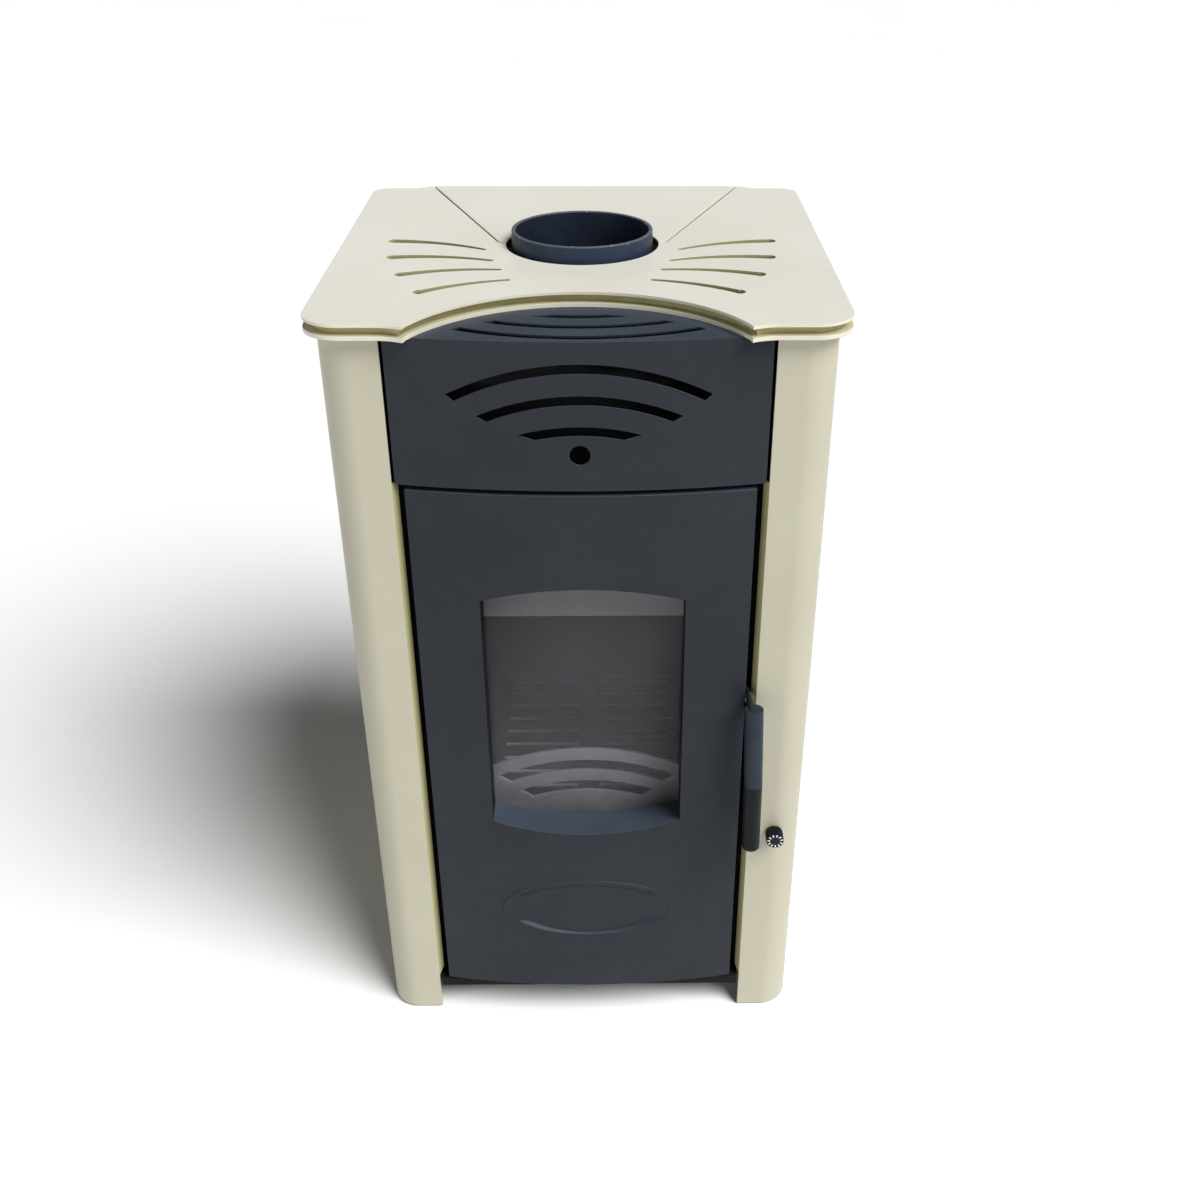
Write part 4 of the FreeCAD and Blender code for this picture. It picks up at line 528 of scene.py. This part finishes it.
# Nodes whose finish differs from the rest of their slot
# The top plates take the lighter tone as painted light, the side panels the darker one as painted
# shade
PLATE_ENAMEL = cream_enamel("plate_enamel", PLATE_LIT_TONE, PLATE_EDGE_SHADE)
LOWER_PLATE_ENAMEL = cream_enamel(
    "lower_plate_enamel", PLATE_LIT_TONE, PLATE_EDGE_SHADE, between_plates, PLATE_GAP_SHADE
)
SPACER_ENAMEL = cream_enamel("spacer_enamel", PLATE_LIT_TONE, None, everywhere, SPACER_SHADE)
PANEL_ENAMEL = cream_enamel("panel_enamel", PANEL_SHADED_TONE, None, leaning_fold, FOLD_SHADE)
FIREBOX_PAINT = boiler_paint("firebox_soot", FIREBOX_SOOT)
SPECIAL = {
    "top_plate_upper": PLATE_ENAMEL,
    "top_rear_insert": PLATE_ENAMEL,
    "top_plate_lower": LOWER_PLATE_ENAMEL,
    "top_spacer_frame": SPACER_ENAMEL,
    # The seam supports take the darker casing paint so that the seams between the plates show dark:
    # painted shade
    "seam_supports": MATERIALS["casing_paint"],
    "flue_collar": collar_paint(),
    "base_plate": boiler_paint("base_paint", BASE_BLACK),
    "handle_lever": boiler_paint("lever_paint", LEVER_BLACK),
    # A near-white pivot pin: a painted highlight
    "handle_pivot_pin": steel("pin_highlight", (0.95, 0.95, 0.94), 0.30, 0.45, metallic=0.2),
    "window_surround": reveal_paint(),
    "boiler_front_plate": front_plate_paint(),
    "grate": grate_iron(),
    "log_guard": cast_iron("guard_iron", GUARD_IRON),
}
SPECIAL.update({name: FIREBOX_PAINT for name in NODES if name.startswith("firebox_")})
SPECIAL.update({name: PANEL_ENAMEL for name in NODES if name.startswith("side_panel_")})

# Bevels in millimetres: rolled or cut sheet edges, larger on the grip and the castings
EDGE_BEVEL = {
    "top_plate_upper": 1.1, "top_plate_lower": 1.3, "top_rear_insert": 0.9, "flue_collar": 0.8,
    "door_skin": 0.8, "upper_front_panel": 0.8, "window_surround": 0.4, "base_plate": 1.2,
    "side_panel_left": 0.5, "side_panel_right": 0.5, "handle_grip": 1.2, "handle_lever": 0.6,
    "grate": 1.2, "log_guard": 0.9, "air_knob": 0.5, "ash_pan": 0.4, "rear_panel": 0.3,
    "air_regulator_housing": 1.0, "flow_socket": 1.0, "return_socket": 1.0, "drain_plug": 1.0,
    "window_glass": 0.1, "glass_seal": 0.1,
}
DEFAULT_BEVEL = 0.35
BEVEL_SEGMENTS = 2
GRIP_SEGMENTS = 6
WELD_REACH = 0.02 * MM
BEVEL_ANGLE = math.radians(32)
GRIP_CREASE_ANGLE = math.radians(14)
SHADING_WEIGHT = 80


def dress_nodes():
    """Materials on every carried-over node, and small bevels so that edges catch the light."""
    slot_of = {s["node"]: s["material_slot"] for s in frame["record"]["subparts"]}
    for name, node in NODES.items():
        mesh = node.data
        mesh.materials.clear()
        mesh.materials.append(SPECIAL.get(name, MATERIALS[slot_of[name]]))
        if "custom_normal" in mesh.attributes:
            mesh.attributes.remove(mesh.attributes["custom_normal"])
        mesh.polygons.foreach_set("use_smooth", [True] * len(mesh.polygons))
        mesh.polygons.foreach_set("material_index", [0] * len(mesh.polygons))
        weld = node.modifiers.new("weld", "WELD")
        weld.merge_threshold = WELD_REACH
        bevel = node.modifiers.new("edges", "BEVEL")
        bevel.width = EDGE_BEVEL.get(name, DEFAULT_BEVEL) * MM
        bevel.segments = BEVEL_SEGMENTS
        bevel.limit_method = "ANGLE"
        bevel.angle_limit = BEVEL_ANGLE
        bevel.use_clamp_overlap = True
        bevel.loop_slide = False
        if name == "handle_grip":
            bevel.segments = GRIP_SEGMENTS
            crease = node.modifiers.new("crease", "EDGE_SPLIT")
            crease.split_angle = GRIP_CREASE_ANGLE
        weigh = node.modifiers.new("shading", "WEIGHTED_NORMAL")
        weigh.mode = "FACE_AREA_WITH_ANGLE"
        weigh.weight = SHADING_WEIGHT


# Pieces that only the looks need

def new_object(name, bm, material, body):
    bmesh.ops.recalc_face_normals(bm, faces=bm.faces)
    mesh = bpy.data.meshes.new(name)
    bm.to_mesh(mesh)
    bm.free()
    mesh.polygons.foreach_set("use_smooth", [True] * len(mesh.polygons))
    mesh.materials.append(material)
    obj = bpy.data.objects.new(name, mesh)
    bpy.context.scene.collection.objects.link(obj)
    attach(obj, body)


# The oval's middle above the floor, half width and half height in metres
OVAL_MIDDLE, OVAL_HALF_X, OVAL_HALF_Z = 0.176, 0.100, 0.044
OVAL_STEPS = 120
# Inset from the outline, and height above the bowed face, in millimetres
OVAL_RIM = [
    (0, -0.6), (0, 0.35), (0.5, 0.75), (1.5, 0.95), (3.2, 0.95), (4.5, 0.7), (5.2, 0.25),
]
# Share of the half axes, and height above the bowed face in millimetres
OVAL_FIELD = [(0.93, 0.18), (0.7, 0.2), (0.4, 0.24), (0.15, 0.26)]


def bow_depth(x):
    """Depth of the door's bowed face at x."""
    return BOW_CROWN + BOW_RADIUS - math.sqrt(BOW_RADIUS ** 2 - x ** 2)


def oval_plate():
    """A bare oval plate pressed on the lower door: a raised rim round a plain field."""
    ovals = [(OVAL_HALF_X - d * MM, OVAL_HALF_Z - d * MM, height) for d, height in OVAL_RIM]
    ovals += [(OVAL_HALF_X * s, OVAL_HALF_Z * s, height) for s, height in OVAL_FIELD]
    bm = bmesh.new()
    rings = []
    for half_x, half_z, height in ovals:
        ring = []
        for k in range(OVAL_STEPS):
            angle = math.tau * k / OVAL_STEPS
            x = half_x * math.cos(angle)
            z = OVAL_MIDDLE + half_z * math.sin(angle)
            ring.append(bm.verts.new((x, bow_depth(x) - height * MM, z)))
        rings.append(ring)
    for outer, inner in zip(rings, rings[1:]):
        for k in range(OVAL_STEPS):
            after = (k + 1) % OVAL_STEPS
            bm.faces.new((outer[k], outer[after], inner[after], inner[k]))
    bm.faces.new(rings[-1])
    new_object("oval_plate", bm, MATERIALS["anthracite_paint"], "door")


TICKS = 11
TICK_START = math.radians(12)
# Share of the knob's radius, and turn from the tick's middle in radians
TICK_CORNERS = [(0.60, -0.11), (0.91, -0.085), (0.91, 0.085), (0.60, 0.11)]
TICK_PROUD, TICK_SUNK = 0.25 * MM, 0.4 * MM

RIBS = 30
RIB_HALF_WIDTH, RIB_HEIGHT, RIB_SUNK = 0.45 * MM, 0.30 * MM, 0.25 * MM
RIB_SHOULDER = 0.7 * RIB_HEIGHT
# Share of the half width, and rise above the knob's side
RIB_SECTION = [
    (-1, -RIB_SUNK), (-0.6, RIB_SHOULDER), (0, RIB_HEIGHT), (0.6, RIB_SHOULDER), (1, -RIB_SUNK),
]
RIB_FROM_FRONT, RIB_FROM_BACK = 1.6 * MM, 0.8 * MM


def knob_size():
    """The corners of the knob's box, its middle and its radius."""
    low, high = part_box("air_knob")
    return low, high, (low + high) / 2, (high.x - low.x) / 2


def add_prism(bm, outline, depths):
    """A prism along the depth, with its outline as places across and up."""
    near, far = ([bm.verts.new((x, y, z)) for x, z in outline] for y in depths)
    bm.faces.new(near)
    bm.faces.new(far[::-1])
    for k in range(len(outline)):
        bm.faces.new((near[k - 1], near[k], far[k], far[k - 1]))


def knob_marks():
    """Plain white ticks round the knob's face."""
    low, _, centre, radius = knob_size()
    bm = bmesh.new()
    for k in range(TICKS):
        middle = math.tau * k / TICKS + TICK_START
        outline = [
            (
                centre.x + radius * share * math.cos(middle + turn),
                centre.z + radius * share * math.sin(middle + turn),
            )
            for share, turn in TICK_CORNERS
        ]
        add_prism(bm, outline, (low.y - TICK_PROUD, low.y + TICK_SUNK))
    new_object("knob_marks", bm, white_print(), "knob")


def knob_ribs():
    """Fine ribs round the knob's side for the fingers."""
    low, high, centre, radius = knob_size()
    bm = bmesh.new()
    for k in range(RIBS):
        angle = math.tau * k / RIBS
        out_x, out_z = math.cos(angle), math.sin(angle)
        outline = []
        for share, rise in RIB_SECTION:
            out, across = radius + rise, RIB_HALF_WIDTH * share
            outline.append((
                centre.x + out * out_x - across * out_z,
                centre.z + out * out_z + across * out_x,
            ))
        add_prism(bm, outline, (low.y + RIB_FROM_FRONT, high.y - RIB_FROM_BACK))
    new_object("knob_ribs", bm, MATERIALS["knob_plastic"], "knob")


# Floor, light and view

# Half the floor's width, and its drop below the feet, in metres
FLOOR_HALF = 30
FLOOR_DROP = 0.5 * MM

# Light from all round: its strength, its tint, and the sines of the heights where it fades out
WALL_LIGHT = 0.86
WALL_TINT = (0.97, 0.985, 1.0, 1)
WALL_FADE = (0.20, 0.36)


def add_floor():
    bm = bmesh.new()
    bmesh.ops.create_grid(bm, x_segments=2, y_segments=2, size=FLOOR_HALF)
    mesh = bpy.data.meshes.new("floor")
    bm.to_mesh(mesh)
    bm.free()
    mesh.materials.append(floor_white())
    floor = bpy.data.objects.new("floor", mesh)
    floor.location.z = -FLOOR_DROP
    bpy.context.scene.collection.objects.link(floor)


def add_sun(name, energy, colour, spread, rise, swing):
    """A soft light from far away.

    Spread is its width, rise its height above the floor and swing its turn from the right towards
    the front, all in degrees.
    """
    data = bpy.data.lights.new(name, "SUN")
    data.energy = energy
    data.color = colour
    data.angle = math.radians(spread)
    sun = bpy.data.objects.new(name, data)
    rise, swing = math.radians(rise), math.radians(swing)
    towards = Vector((
        -math.cos(rise) * math.cos(swing),
        math.cos(rise) * math.sin(swing),
        -math.sin(rise),
    ))
    sun.rotation_euler = towards.to_track_quat("-Z", "Y").to_euler()
    bpy.context.scene.collection.objects.link(sun)


def add_light():
    """Pale walls under a dark ceiling, a broad light high on the right and a faint one low left."""
    world = bpy.data.worlds.new("studio")
    world.use_nodes = True
    nodes, links = world.node_tree.nodes, world.node_tree.links
    direction = nodes.new("ShaderNodeTexCoord").outputs["Generated"]
    split = nodes.new("ShaderNodeSeparateXYZ")
    links.new(direction, split.inputs["Vector"])
    fade = nodes.new("ShaderNodeMapRange")
    links.new(split.outputs["Z"], fade.inputs["Value"])
    fade.inputs["From Min"].default_value, fade.inputs["From Max"].default_value = WALL_FADE
    fade.inputs["To Min"].default_value, fade.inputs["To Max"].default_value = WALL_LIGHT, 0.0
    background = nodes["Background"]
    background.inputs["Color"].default_value = WALL_TINT
    links.new(fade.outputs["Result"], background.inputs["Strength"])
    bpy.context.scene.world = world
    add_sun("key", energy=4.45, colour=(0.975, 0.985, 1.0), spread=36, rise=49, swing=41)
    add_sun("fill", energy=0.45, colour=(1.0, 1.0, 1.0), spread=40, rise=8, swing=135)


def set_view():
    settings = bpy.context.scene.view_settings
    settings.view_transform = "Standard"
    settings.look = "None"


add_camera()
dress_nodes()
oval_plate()
knob_marks()
knob_ribs()
add_floor()
add_light()
set_view()
